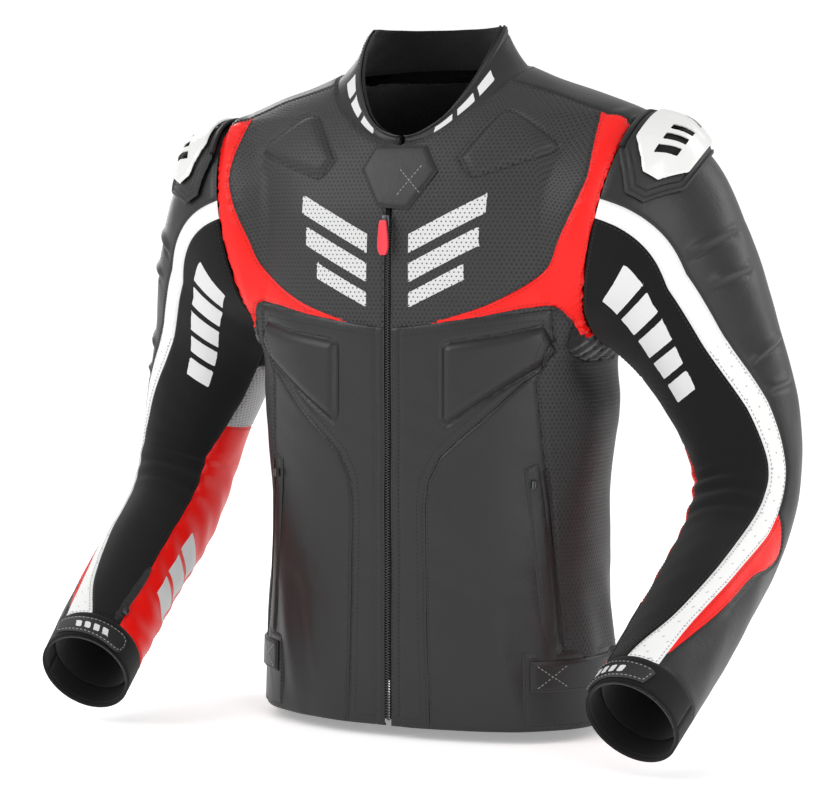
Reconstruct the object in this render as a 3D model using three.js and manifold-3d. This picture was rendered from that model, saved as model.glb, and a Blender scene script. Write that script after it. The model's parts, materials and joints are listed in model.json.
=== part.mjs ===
// Leather riding jacket, size M. Millimetres, +Z up, front towards -Y, wearer's left arm at +X.
// Sizes below are measured from the centre of the front hem. The finished jacket is then moved
// so that the origin is where it hangs, inside the back of the collar.
import * as THREE from 'three';
import { mergeVertices } from 'three/addons/utils/BufferGeometryUtils.js';
import Module from 'manifold-3d';

const wasm = await Module();
wasm.setup();

// ---- driving dimensions -------------------------------------------------

const gap = 0.3; // clearance between pieces that touch
const leather = 2.4; // outer shell, leather and its backing
const liningInset = 12; // from the outer surface to the lining
const liningWall = 1.6;
const padInset = 4.6; // pads lie in pockets behind the shell
const padWall = 6;
const squareness = 2.3; // exponent of the body's rounded section
const bodySides = 32;
const zipX = 0.7; // half the slot between the two fronts

// Body sections: height, half width, front depth, back depth.
const bodySections = [
  [0, 183, 119, 116],
  [60, 181, 119, 112],
  [130, 176, 119, 104],
  [220, 174, 119, 106],
  [300, 183, 119, 116],
  [370, 196, 119, 126],
  [440, 207, 119, 130],
  [500, 217, 115, 130],
  [548, 227, 101, 124],
  [573, 231, 88, 116],
  [588, 226, 79, 108],
  [598, 204, 71, 102],
  [608, 174, 65, 96],
  [618, 145, 59, 88],
  [628, 117, 52, 80],
  [638, 92, 45, 70],
  [648, 60, 30, 55],
];

const neck = { halfWidth: 100, halfDepth: 78, y: -16 };
const collar = { halfWidth: 72, halfDepth: 74, y: -14, back: 676, drop: 108, wall: 2.6, linerWall: 1.6 };

// The sleeve's centre line and its two radii, outwards and forwards, knot by knot.
const sleeveLine = [
  [140, -8, 484],
  [196, -6, 472],
  [236, 12, 430],
  [270, 32, 368],
  [297, 40, 302],
  [311, 32, 238],
  [309, -2, 186],
  [304, -70, 138],
  [296, -140, 92],
  [286, -208, 46],
];
const sleeveRadii = [
  [112, 84],
  [116, 86],
  [92, 78],
  [72, 68],
  [60, 62],
  [51, 56],
  [48, 52],
  [47, 50],
  [46, 49],
  [44, 48],
];
const wristKnot = sleeveLine.length - 1;
const armholeTilt = THREE.MathUtils.degToRad(12);
const armholePoint = new THREE.Vector3(198, 0, 472);
const armpitZ = 345; // the lowest point of the armhole
const hangPoint = { y: 45, z: 640 };

// The elbow opens a wedge in front for bending and one behind for straightening.
const elbow = { knot: 5.45, bend: 41, straighten: 23, halfSlot: 2 };

// ---- colours ------------------------------------------------------------

const finish = (color, roughness, metalness = 0) =>
  new THREE.MeshStandardMaterial({ color, roughness, metalness });
const blackLeather = finish('#2c2c2d', 0.5);
const perforatedLeather = finish('#333334', 0.6);
const redLeather = finish('#e8160c', 0.45);
const whiteLeather = finish('#f2f2f0', 0.45);
const stretchFabric = finish('#1f1f1f', 0.95);
const neoprene = finish('#1b1b1b', 0.9);
const liningMesh = finish('#151515', 0.95);
const armourFoam = finish('#3a3a3c', 0.8);
const whiteCup = finish('#f0f0ee', 0.3);
const blackRubber = finish('#191919', 0.6);
const zipMetal = finish('#3a3a3c', 0.35, 0.9);
const redPull = finish('#dd4958', 0.4);

// ---- solids -------------------------------------------------------------

const jacket = new THREE.Group();

function addPiece(name, geometry, material) {
  const mesh = new THREE.Mesh(geometry, material);
  mesh.name = name;
  jacket.add(mesh);
  return mesh;
}

// A closed mesh from a list of points and triangles, turned so that its faces point out.
function closedGeometry(points, triangles) {
  let volume = 0;
  const cross = new THREE.Vector3();
  for (const [a, b, c] of triangles) {
    volume += cross.crossVectors(points[b], points[c]).dot(points[a]);
  }
  const index = triangles.flatMap(([a, b, c]) => (volume < 0 ? [a, c, b] : [a, b, c]));
  const geometry = new THREE.BufferGeometry();
  const flat = points.flatMap((p) => [p.x, p.y, p.z]);
  geometry.setAttribute('position', new THREE.Float32BufferAttribute(flat, 3));
  geometry.setIndex(index);
  return geometry;
}

// A solid through a list of rings, closed at both ends by a fan.
function loft(rings) {
  const sides = rings[0].length;
  const points = rings.flat();
  const triangles = [];
  for (let i = 0; i + 1 < rings.length; i++) {
    for (let j = 0; j < sides; j++) {
      const a = i * sides + j;
      const b = i * sides + ((j + 1) % sides);
      triangles.push([a, b, b + sides], [a, b + sides, a + sides]);
    }
  }
  for (const [ring, first] of [[rings[0], 0], [rings.at(-1), points.length - sides]]) {
    const middle = new THREE.Vector3();
    ring.forEach((p) => middle.addScaledVector(p, 1 / sides));
    const centre = points.push(middle) - 1;
    for (let j = 0; j < sides; j++) {
      const ends = [first + j, first + ((j + 1) % sides)];
      triangles.push(first === 0 ? [centre, ends[1], ends[0]] : [centre, ...ends]);
    }
  }
  return closedGeometry(points, triangles);
}

// A wall of even thickness: surface(u, v, inset) is sampled on a grid, at two insets.
function wall(surface, columns, rows, outside, inside, closed = false) {
  const points = [];
  for (const inset of [outside, inside]) {
    for (let i = 0; i <= rows; i++) {
      for (let j = 0; j < columns + (closed ? 0 : 1); j++) {
        points.push(surface(j / columns, i / rows, inset));
      }
    }
  }
  const width = columns + (closed ? 0 : 1);
  const layer = width * (rows + 1);
  const at = (side, i, j) => side * layer + i * width + (j % width);
  const triangles = [];
  const quad = (a, b, c, d) => triangles.push([a, b, c], [a, c, d]);
  for (let i = 0; i < rows; i++) {
    for (let j = 0; j < columns; j++) {
      quad(at(0, i, j), at(0, i, j + 1), at(0, i + 1, j + 1), at(0, i + 1, j));
      quad(at(1, i, j), at(1, i + 1, j), at(1, i + 1, j + 1), at(1, i, j + 1));
    }
    if (!closed) {
      quad(at(0, i, 0), at(0, i + 1, 0), at(1, i + 1, 0), at(1, i, 0));
      quad(at(0, i, columns), at(1, i, columns), at(1, i + 1, columns), at(0, i + 1, columns));
    }
  }
  for (let j = 0; j < columns; j++) {
    quad(at(0, 0, j), at(1, 0, j), at(1, 0, j + 1), at(0, 0, j + 1));
    quad(at(0, rows, j), at(0, rows, j + 1), at(1, rows, j + 1), at(1, rows, j));
  }
  return closedGeometry(points, triangles);
}

function toSolid(geometry) {
  const bare = geometry.clone();
  bare.deleteAttribute('normal');
  bare.deleteAttribute('uv');
  const merged = mergeVertices(bare, 1e-4);
  return new wasm.Manifold(
    new wasm.Mesh({
      numProp: 3,
      vertProperties: new Float32Array(merged.attributes.position.array),
      triVerts: new Uint32Array(merged.index.array),
    }),
  );
}

function toGeometry(solid) {
  const mesh = solid.getMesh();
  const geometry = new THREE.BufferGeometry();
  geometry.setAttribute('position', new THREE.BufferAttribute(mesh.vertProperties, 3));
  geometry.setIndex(new THREE.BufferAttribute(mesh.triVerts, 1));
  return geometry;
}

// The main body of a cut solid, without slivers.
function mainBody(solid) {
  const bodies = solid.decompose();
  return bodies.reduce((best, body) => (body.volume() > best.volume() ? body : best));
}

const box = (x0, x1, y0, y1, z0, z1) => {
  const geometry = new THREE.BoxGeometry(Math.abs(x1 - x0), y1 - y0, z1 - z0);
  return geometry.translate((x0 + x1) / 2, (y0 + y1) / 2, (z0 + z1) / 2);
};

// An outline in the XZ plane, moved outwards by offset and carried from y0 to y1.
function prism(outline, offset, y0, y1) {
  const area = outline.reduce((sum, [x, z], i) => {
    const [nextX, nextZ] = outline[(i + 1) % outline.length];
    return sum + x * nextZ - nextX * z;
  }, 0);
  const turn = Math.sign(area);
  const moved = outline.map(([x, z], i) => {
    const [beforeX, beforeZ] = outline.at(i - 1);
    const [afterX, afterZ] = outline[(i + 1) % outline.length];
    const before = new THREE.Vector2(z - beforeZ, beforeX - x).normalize().multiplyScalar(turn);
    const after = new THREE.Vector2(afterZ - z, x - afterX).normalize().multiplyScalar(turn);
    const middle = before.clone().add(after).normalize();
    const reach = offset / Math.max(middle.dot(before), 0.3);
    return new THREE.Vector2(x + middle.x * reach, z + middle.y * reach);
  });
  const shape = new THREE.Shape(moved);
  const geometry = new THREE.ExtrudeGeometry(shape, { depth: y1 - y0, bevelEnabled: false });
  return geometry.rotateX(Math.PI / 2).translate(0, y1, 0);
}

// ---- body shell ---------------------------------------------------------

// A point of the body's surface: turn 0 is the front, a quarter turn is the wearer's left.
function bodyPoint(section, turn, inset) {
  const [z, width, front, back] = section;
  const depth = Math.cos(turn) > 0 ? front : back;
  const across = Math.abs(Math.sin(turn) / (width - inset)) ** squareness;
  const along = Math.abs(Math.cos(turn) / (depth - inset)) ** squareness;
  const radius = (across + along) ** (-1 / squareness);
  return new THREE.Vector3(radius * Math.sin(turn), -radius * Math.cos(turn), z);
}

// The section at any height, between the listed ones.
function sectionAt(z) {
  const above = Math.max(1, bodySections.findIndex(([height]) => height >= z));
  const low = bodySections[above - 1];
  const high = bodySections[above];
  const share = (z - low[0]) / (high[0] - low[0]);
  return low.map((value, i) => THREE.MathUtils.lerp(value, high[i], share));
}

function bodySolid(inset, drop, sides) {
  const rings = bodySections.map((section, i) => {
    const fall = inset * THREE.MathUtils.smoothstep(section[0], 480, 590);
    const z = i === 0 ? section[0] - drop : section[0] - fall;
    const ring = [];
    for (let j = 0; j < sides; j++) {
      ring.push(bodyPoint([z, ...section.slice(1)], (j / sides) * 2 * Math.PI, inset));
    }
    return ring;
  });
  return toSolid(loft(rings));
}

// ---- sleeves ------------------------------------------------------------

const vectors = (list) => list.map(([x, y, z = 0]) => new THREE.Vector3(x, y, z));
const centreLine = new THREE.CatmullRomCurve3(vectors(sleeveLine), false, 'catmullrom', 0.5);
const radiusLine = new THREE.CatmullRomCurve3(vectors(sleeveRadii), false, 'catmullrom', 0.5);

// The section frame at a knot number: the middle, outwards, forwards and the radii.
function sleeveFrame(knot) {
  const share = knot / wristKnot;
  const middle = centreLine.getPoint(share);
  const along = centreLine.getTangent(share);
  const lean = THREE.MathUtils.clamp((knot - 1) / 3, 0, 1);
  const out = new THREE.Vector3(0.2 + 0.8 * lean, 0, 1 - lean);
  out.addScaledVector(along, -out.dot(along)).normalize();
  const front = new THREE.Vector3().crossVectors(out, along);
  if (front.y > 0) front.negate();
  const radii = radiusLine.getPoint(share);
  return { middle, along, out, front, radii };
}

// A point of the sleeve: 0 degrees is outwards, 90 is forwards, 180 is towards the body.
function sleevePoint(side, degrees, knot, inset) {
  const { middle, out, front, radii } = sleeveFrame(knot);
  const angle = THREE.MathUtils.degToRad(degrees);
  const p = middle.clone();
  p.addScaledVector(out, (radii.x - inset) * Math.cos(angle));
  p.addScaledVector(front, (radii.y - inset) * Math.sin(angle));
  p.x *= side;
  return p;
}

function sleeveSolid(side, inset, sides) {
  const rings = [];
  for (let knot = 0; knot <= 3; knot += 0.5) {
    const ring = [];
    for (let j = 0; j < sides; j++) ring.push(sleevePoint(side, (j / sides) * 360, knot, inset));
    rings.push(ring);
  }
  return toSolid(loft(rings));
}

// A strip of sleeve wall between two edges, each given in degrees at a knot.
function sleeveStrip(side, from, to, start, end, outside, inside, columns, rows) {
  const surface = (u, v, inset) => {
    const knot = THREE.MathUtils.lerp(start, end, v);
    const { radii } = sleeveFrame(knot);
    const margin = THREE.MathUtils.radToDeg(gap / 2 / Math.min(radii.x, radii.y));
    const degrees = THREE.MathUtils.lerp(from(knot) + margin, to(knot) - margin, u);
    return sleevePoint(side, degrees, knot, inset);
  };
  return toSolid(wall(surface, columns, rows, outside, inside));
}

// An edge line on the sleeve through [knot, degrees] pairs.
function edgeLine(pairs) {
  return (knot) => {
    const next = pairs.findIndex(([k]) => k > knot);
    if (next === 0) return pairs[0][1];
    if (next < 0) return pairs.at(-1)[1];
    const [k0, d0] = pairs[next - 1];
    const [k1, d1] = pairs[next];
    return THREE.MathUtils.lerp(d0, d1, (knot - k0) / (k1 - k0));
  };
}

const stripeKnots = [1, 2, 3, 4, 5, 6, 7, 8, 8.7];
const alongStripe = (degrees) => edgeLine(stripeKnots.map((knot, index) => [knot, degrees[index]]));
const stripeFront = alongStripe([82, 85, 76, 60, 46, 48, 60, 78, 104]);
const stripeBack = alongStripe([72, 64, 50, 30, 20, 22, 40, 58, 62]);
const underSeam = edgeLine([[0, 262], [4, 262], [5, 240], [9, 222]]);
const underSeamBack = (knot) => underSeam(knot) - 360;
const innerSeam = edgeLine([[4, 158], [5, 146], [9, 142]]);

// The half space outboard of an armhole, as a large block with one face on its plane.
function outboard(side, offset) {
  const size = 600;
  const block = new THREE.BoxGeometry(size, size, size).translate(size / 2 + offset, 0, 0);
  block.rotateY(armholeTilt).translate(armholePoint.x, armholePoint.y, armholePoint.z);
  if (side < 0) block.rotateZ(Math.PI);
  return toSolid(block);
}

// The slot at the elbow: a bow tie seen along the elbow's axis.
function elbowBasis(side) {
  const { middle } = sleeveFrame(elbow.knot);
  const upper = centreLine.getTangent(4.6 / wristKnot);
  const lower = centreLine.getTangent(6.6 / wristKnot);
  const axis = new THREE.Vector3().crossVectors(upper, lower).normalize();
  const along = upper.clone().add(lower).normalize();
  const front = new THREE.Vector3().crossVectors(axis, along).normalize();
  if (front.y > 0) front.negate();
  for (const v of [middle, along, front]) v.x *= side;
  return { middle, along, front };
}

function elbowSlot(side, shrink) {
  const reach = 130;
  const half = elbow.halfSlot - shrink;
  const spread = (degrees) => half + reach * Math.tan(THREE.MathUtils.degToRad(degrees / 2));
  const shape = new THREE.Shape();
  shape.moveTo(0, half);
  shape.lineTo(reach, spread(elbow.bend));
  shape.lineTo(reach, -spread(elbow.bend));
  shape.lineTo(0, -half);
  shape.lineTo(-reach, -spread(elbow.straighten));
  shape.lineTo(-reach, spread(elbow.straighten));
  const geometry = new THREE.ExtrudeGeometry(shape, { depth: 2 * reach, bevelEnabled: false });
  geometry.translate(0, 0, -reach);
  const { middle, along, front } = elbowBasis(side);
  const across = new THREE.Vector3().crossVectors(front, along);
  const place = new THREE.Matrix4().makeBasis(front, along, across).setPosition(middle);
  return toSolid(geometry.applyMatrix4(place));
}

// ---- body panels --------------------------------------------------------

const bothSides = [['left', 1], ['right', -1]];
const mirrored = (outline, side) => outline.map(([x, z]) => [x * side, z]);

function neckCutter(margin) {
  const geometry = new THREE.CylinderGeometry(1, 1, 300, 32).rotateX(Math.PI / 2);
  geometry.scale(neck.halfWidth + margin, neck.halfDepth + margin, 1);
  return toSolid(geometry.translate(0, neck.y, 610));
}

// Body and sleeve roots in one wall between two insets, cut at the armholes and the neck.
function bodyWall(outside, inside, neckMargin, sides) {
  const armSides = Math.round(sides * 0.55);
  let solid = bodySolid(outside, 0, sides);
  let hollow = bodySolid(inside, 20, sides);
  for (const [, side] of bothSides) {
    solid = solid.add(sleeveSolid(side, outside, armSides));
    hollow = hollow.add(sleeveSolid(side, inside, armSides));
  }
  solid = solid.subtract(hollow).subtract(neckCutter(neckMargin));
  const aboveArmpit = toSolid(box(-500, 500, -500, 500, armpitZ, 900));
  for (const [, side] of bothSides) {
    solid = solid.subtract(outboard(side, -gap / 2).intersect(aboveArmpit));
  }
  return solid;
}

let shell = bodyWall(0, leather, 0.4, bodySides);

// Takes the part of the shell inside a cutter, and leaves a gap round it.
function claim(name, material, cutterAt) {
  const piece = mainBody(shell.intersect(cutterAt(-gap / 2)));
  shell = shell.subtract(cutterAt(gap / 2));
  addPiece(name, toGeometry(piece), material);
}

const back = 260; // past the rear of the jacket
const beyond = 300; // past either side of the body
const above = 700; // past the top of the collar
const below = -40; // past the hem
const middle = 0;
const yokeInner = [[183, 640], [193, 545], [187, 512], [165, 472], [150, 436], [102, 410], [44, 389]];
const yokeLower = [[92, 397], [130, 405], [158, 402], [170, 372], [172, 330], [300, 330], [300, 640]];
const yokeRear = [[183, 640], [190, 545], [178, 480], [168, 420], [172, 330], [300, 330], [300, 640]];
const waistX = 150; // where the front and back panels meet the side panels
const gussetZ = 338;
const shoulderSeam = { inner: 30, outer: 240, halfDepth: 40, z: 520 };
const backSeams = { upperZ: 440, stretchZ: 385, upperX: 240, stretchX: 172 };
const sideSeam = { inner: 100, top: 420 };
const spread = (x, offset) => [-x - offset, x + offset];

for (const [hand, side] of bothSides) {
  claim(`red_yoke_${hand}`, redLeather, (offset) => {
    const front = toSolid(prism(mirrored([...yokeInner, ...yokeLower], side), offset, -back, middle));
    const rear = toSolid(prism(mirrored(yokeRear, side), offset, middle, back));
    return front.add(rear.translate([0, -0.01, 0])).add(rear);
  });
  claim(`shoulder_panel_${hand}`, blackLeather, (offset) => {
    const { inner, outer, halfDepth, z } = shoulderSeam;
    const acrossX = [side * (inner - offset), side * (outer + offset)];
    return toSolid(box(...acrossX, ...spread(halfDepth, offset), z - offset, above));
  });
  const x0 = zipX;
  const seam = [[x0, 384], [44, 389]];
  claim(`chest_panel_${hand}`, perforatedLeather, (offset) => {
    const outline = [...seam, [200, 400], [240, 640], [x0, 640]];
    return toSolid(prism(mirrored(outline, side), offset, -back, middle + offset));
  });
  claim(`front_panel_${hand}`, blackLeather, (offset) => {
    const outline = [
      [x0, below],
      [waistX, below],
      [waistX, gussetZ],
      [172, 372],
      [150, 420],
      ...[...seam].reverse(),
    ];
    return toSolid(prism(mirrored(outline, side), offset, -back, middle + offset));
  });
}
claim('back_panel_upper', perforatedLeather, (offset) =>
  toSolid(box(...spread(backSeams.upperX, offset), -offset, back, backSeams.upperZ - offset, above)),
);
claim('back_stretch_panel', stretchFabric, (offset) => {
  const { stretchX, stretchZ, upperZ } = backSeams;
  return toSolid(box(...spread(stretchX, offset), -offset, back, stretchZ - offset, upperZ + offset));
});
claim('back_panel_lower', blackLeather, (offset) =>
  toSolid(box(...spread(waistX, offset), -offset, back, below, backSeams.stretchZ + offset)),
);
for (const [hand, side] of bothSides) {
  claim(`side_panel_${hand}`, perforatedLeather, (offset) => {
    const acrossX = [side * (sideSeam.inner - offset), side * beyond];
    return toSolid(box(...acrossX, -back, back, below, sideSeam.top + offset));
  });
}

// ---- lining and armour of the body --------------------------------------

const liningGap = 3; // half of the opening down the front and back of the lining
const liningHem = 8;
const lining = bodyWall(liningInset, liningInset + liningWall, 6, 16);
for (const [hand, side] of bothSides) {
  const half = toSolid(box(side * liningGap, side * beyond, -back, back, liningHem, above));
  addPiece(`body_lining_${hand}`, toGeometry(mainBody(lining.intersect(half))), liningMesh);
}

// The turn at which a body section reaches a given x, on its front or its rear.
function turnAt(x, section, rear) {
  const depth = rear ? section[3] : section[2];
  const y = depth * (1 - (Math.abs(x) / section[1]) ** squareness) ** (1 / squareness);
  return Math.atan2(x, y);
}

// A plate that follows the body's section between two heights and two edge lines.
function bodyPlate(z0, z1, xFrom, xTo, rear, outside, inside, columns, rows) {
  return wall(
    (u, v, inset) => {
      const z = THREE.MathUtils.lerp(z0, z1, v);
      const section = sectionAt(z);
      const from = turnAt(xFrom(v), section, rear);
      const to = turnAt(xTo(v), section, rear);
      const turn = THREE.MathUtils.lerp(from, to, u);
      return bodyPoint(section, rear ? Math.PI - turn : turn, inset);
    },
    columns,
    rows,
    outside,
    inside,
  );
}

const protectorHalf = (v) => 70 + 45 * Math.sin(Math.PI * (0.15 + 0.6 * v));
addPiece(
  'back_protector',
  bodyPlate(110, 500, (v) => -protectorHalf(v), protectorHalf, true, padInset, padInset + padWall, 8, 9),
  armourFoam,
);

// ---- front zip ----------------------------------------------------------

const zipTop = 492;
const tape = { inner: 0.6, outer: 13, top: 500, inset: leather + 0.4, wall: 1.2 };
for (const [hand, side] of bothSides) {
  const strip = bodyPlate(
    4,
    tape.top,
    () => side * tape.inner,
    () => side * tape.outer,
    false,
    tape.inset,
    tape.inset + tape.wall,
    1,
    9,
  );
  addPiece(`zip_tape_${hand}`, strip, stretchFabric);
}

const slider = { width: 8, depth: 4, height: 11, y: -120 };
const sliderWidths = [-slider.width / 2, slider.width / 2];
addPiece(
  'zip_slider',
  box(...sliderWidths, slider.y - slider.depth, slider.y, zipTop - slider.height, zipTop),
  zipMetal,
);

function pullTab(width, length, thickness, x, y, z) {
  const shape = new THREE.Shape();
  shape.moveTo(-width * 0.32, 0);
  shape.lineTo(width * 0.32, 0);
  shape.lineTo(width / 2, -length * 0.8);
  shape.quadraticCurveTo(width * 0.4, -length, 0, -length);
  shape.quadraticCurveTo(-width * 0.4, -length, -width / 2, -length * 0.8);
  const geometry = new THREE.ExtrudeGeometry(shape, {
    depth: thickness,
    bevelEnabled: false,
    curveSegments: 4,
  });
  return geometry.rotateX(Math.PI / 2).translate(x, y, z);
}

const pull = { width: 11, length: 32, thickness: 3 };
addPiece(
  'zip_pull',
  pullTab(pull.width, pull.length, pull.thickness, 0, slider.y - slider.depth - gap, zipTop - 3),
  redPull,
);

// A five-sided flap that covers the top of the zip, just under the collar.
const garageTop = 546;
const garageBottom = 497;
addPiece(
  'zip_garage_flap',
  bodyPlate(
    garageBottom,
    garageTop,
    (v) => -THREE.MathUtils.lerp(13, 30, Math.min(1, v * 1.4)),
    (v) => THREE.MathUtils.lerp(13, 34, Math.min(1, v * 1.4)),
    false,
    -2.8,
    -0.5,
    4,
    4,
  ),
  blackLeather,
);

// ---- collar -------------------------------------------------------------

// The height of the body's surface under a point of the neck opening.
function neckHeight(x, y) {
  let low = 430;
  let high = 647;
  for (let step = 0; step < 24; step++) {
    const z = (low + high) / 2;
    const [, width, front, rear] = sectionAt(z);
    const depth = y < 0 ? front : rear;
    const inside = Math.abs(x / width) ** squareness + Math.abs(y / depth) ** squareness < 1;
    if (inside) low = z;
    else high = z;
  }
  return low;
}

function collarPoint(u, v, inset) {
  const turn = THREE.MathUtils.lerp(0.035, 2 * Math.PI - 0.035, u);
  const [s, c] = [Math.sin(turn), Math.cos(turn)];
  const foot = new THREE.Vector3(
    (neck.halfWidth - inset) * s,
    neck.y - (neck.halfDepth - inset) * c,
    neckHeight(neck.halfWidth * s, neck.y - neck.halfDepth * c) - 1,
  );
  const rear = c > 0 ? 1 : 0.8;
  const top = new THREE.Vector3(
    (collar.halfWidth - inset) * s,
    collar.y - (collar.halfDepth * rear - inset) * c,
    collar.back - collar.drop * Math.max(0, (c + 0.15) / 1.15) ** 1.3,
  );
  return foot.lerp(top, v);
}

addPiece('collar_shell', wall(collarPoint, 28, 2, 0, collar.wall), blackLeather);
const linerInset = collar.wall + gap;
addPiece('collar_lining', wall(collarPoint, 28, 2, linerInset, linerInset + collar.linerWall), liningMesh);

// ---- hem straps and the trouser zip -------------------------------------

const strap = { z0: 38, z1: 68, wall: 2.6 };
for (const [hand, side] of bothSides) {
  const angleFrom = THREE.MathUtils.degToRad(56);
  const angleTo = THREE.MathUtils.degToRad(104);
  const surface = (u, v, inset) => {
    const z = THREE.MathUtils.lerp(strap.z0, strap.z1, v);
    const turn = THREE.MathUtils.lerp(angleFrom, angleTo, u) * side;
    return bodyPoint(sectionAt(z), turn, inset);
  };
  addPiece(`waist_strap_${hand}`, wall(surface, 8, 1, -1.4 - strap.wall, -1.4), blackLeather);
}

const trouserZip = { halfLength: 55, z0: 14, z1: 34, thickness: 2 };
const trouserY = bodySections[0][3] - liningInset - liningWall - 8.5;
addPiece(
  'trouser_zip',
  box(
    -trouserZip.halfLength,
    trouserZip.halfLength,
    trouserY - trouserZip.thickness,
    trouserY,
    trouserZip.z0,
    trouserZip.z1,
  ),
  stretchFabric,
);

// ---- pocket zips --------------------------------------------------------

const pocket = { topX: 134, topZ: 250, bottomX: 154, bottomZ: 92 };
for (const [hand, side] of bothSides) {
  const tab = wall(
    (u, v, inset) => {
      const z = pocket.topZ - 26 + 26 * v;
      const x = THREE.MathUtils.mapLinear(z, pocket.topZ, pocket.bottomZ, pocket.topX, pocket.bottomX);
      const turn = turnAt(x, sectionAt(z), false) + (u - 0.5) * 0.05;
      return bodyPoint(sectionAt(z), turn * side, inset);
    },
    1,
    1,
    -7,
    -3.4,
  );
  addPiece(`pocket_slider_${hand}`, tab, zipMetal);
}

// ---- sleeve pieces ------------------------------------------------------

const rootKnot = 0.7; // inboard of the armhole, trimmed on its plane
const upperEnd = 5.6; // past the elbow's slot, trimmed there
const rows = 10;
const rowStep = (upperEnd - rootKnot) / rows;
const cuffKnot = 8.62;
const forearmKnot = 5.5; // short of the elbow's slot, trimmed there
const gussetKnots = [3.8, 7.1];
const liningKnot = 4.9; // the upper lining ends here, above the elbow
const shoulderPadTurn = 38;
const elbowPad = { turns: [-95, -5], knots: [5.6, 7.4] };
const capMiddle = 12; // degrees from straight outwards to the middle of the shoulder cup
const surroundPlate = { spread: 54, knots: [0.78, 1.3], base: -1.7, thick: 4.5, dome: 0 };
const cupPlate = { spread: 43, knots: [0.9, 1.22], base: -7.4, thick: 2.5, dome: 5 };
const cuffWall = 2.6;
const cuffTab = { turns: [62, 158], knots: [cuffKnot + 0.08, cuffKnot + 0.3], outer: -2.9, inner: -0.5 };
const wristTab = { turns: [136, 144], knots: [8.3, 8.5], outer: -4.4, inner: -1.2 };

for (const [hand, side] of bothSides) {
  const outer = outboard(side, gap / 2);
  const slot = elbowSlot(side, 0);
  const slotFill = elbowSlot(side, gap);

  // Cut at the elbow, and for the upper sleeve at the armhole as well.
  const lower = (name, material, solid) => {
    addPiece(`${name}_${hand}`, toGeometry(mainBody(solid.subtract(slot))), material);
  };
  const upper = (name, material, solid) => lower(name, material, solid.intersect(outer));

  const strip = (from, to, start, end, columns, rows) =>
    sleeveStrip(side, from, to, start, end, 0, leather, columns, rows);

  // Shell of the upper sleeve, down to the elbow.
  upper('sleeve_outer', blackLeather, strip(underSeamBack, stripeBack, rootKnot, upperEnd, 9, rows));
  upper('sleeve_stripe', whiteLeather, strip(stripeBack, stripeFront, rootKnot, upperEnd, 1, rows));
  upper('sleeve_stretch', stretchFabric, strip(stripeFront, underSeam, rootKnot, upperEnd, 10, rows));

  // Shell of the forearm.
  lower('forearm_outer', blackLeather, strip(underSeamBack, stripeBack, forearmKnot, cuffKnot, 8, 6));
  lower('forearm_stripe', whiteLeather, strip(stripeBack, stripeFront, forearmKnot, cuffKnot, 1, 6));
  lower('forearm_stretch', stretchFabric, strip(stripeFront, innerSeam, forearmKnot, cuffKnot, 5, 6));
  lower('forearm_inner', redLeather, strip(innerSeam, underSeam, forearmKnot, cuffKnot, 4, 6));

  // Elastic gusset that fills the slot at the elbow.
  const ring = (knot0, knot1, outside, inside, columns, rows) =>
    wall(
      (u, v, inset) => sleevePoint(side, u * 360, THREE.MathUtils.lerp(knot0, knot1, v), inset),
      columns,
      rows,
      outside,
      inside,
      true,
    );
  const band = toSolid(ring(...gussetKnots, 0, leather, 18, 7));
  addPiece(`elbow_gusset_${hand}`, toGeometry(mainBody(band.intersect(slotFill))), stretchFabric);

  // Lining of the upper sleeve.
  const tube = toSolid(ring(rootKnot, liningKnot, liningInset, liningInset + liningWall, 14, 8));
  upper('sleeve_lining', liningMesh, tube);

  // Armour in the shoulder and at the elbow, between shell and lining.
  const plate = (from, to, knot0, knot1, columns, rows) =>
    wall(
      (u, v, inset) => {
        const knot = THREE.MathUtils.lerp(knot0, knot1, v);
        return sleevePoint(side, THREE.MathUtils.lerp(from, to, u), knot, inset);
      },
      columns,
      rows,
      padInset,
      padInset + padWall,
    );
  const padKnots = [rootKnot + rowStep, rootKnot + 4 * rowStep];
  const shoulderPad = toSolid(plate(-shoulderPadTurn, shoulderPadTurn, ...padKnots, 6, 3));
  const trimmedPad = mainBody(shoulderPad.intersect(outboard(side, 4)));
  addPiece(`shoulder_armour_${hand}`, toGeometry(trimmedPad), armourFoam);
  lower('elbow_armour', armourFoam, toSolid(plate(...elbowPad.turns, ...elbowPad.knots, 5, 4)));

  // Hard shoulder cup on its ridged rubber surround, both domed over the sleeve head.
  const capPlate = ({ spread, knots, base, thick, dome }) => {
    const surface = (u, v, inset) => {
      const corner = 1 - 0.35 * (2 * v - 1) ** 2;
      const degrees = capMiddle + spread * corner * (2 * u - 1);
      const rise = inset === base ? 0 : dome * (Math.sin(Math.PI * u) * Math.sin(Math.PI * v)) ** 0.5;
      return sleevePoint(side, degrees, THREE.MathUtils.lerp(...knots, v), inset - rise);
    };
    const solid = toSolid(wall(surface, 8, 4, base - thick, base));
    return toGeometry(mainBody(solid.intersect(outboard(side, 2))));
  };
  addPiece(`cup_surround_${hand}`, capPlate(surroundPlate), blackRubber);
  addPiece(`shoulder_cup_${hand}`, capPlate(cupPlate), whiteCup);

  // Cuff and its hook and loop strap.
  addPiece(`cuff_${hand}`, ring(cuffKnot + 0.02, wristKnot, 0, cuffWall, 18, 1), neoprene);
  const tab = ({ turns, knots, outer, inner }, columns) => {
    const surface = (u, v, inset) => {
      const knot = THREE.MathUtils.lerp(...knots, v);
      return sleevePoint(side, THREE.MathUtils.lerp(...turns, u), knot, inset);
    };
    return wall(surface, columns, 1, outer, inner);
  };
  addPiece(`cuff_strap_${hand}`, tab(cuffTab, 8), blackRubber);
  addPiece(`wrist_slider_${hand}`, tab(wristTab, 1), zipMetal);
}

jacket.position.set(0, -hangPoint.y, -hangPoint.z);

export default jacket;
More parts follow.
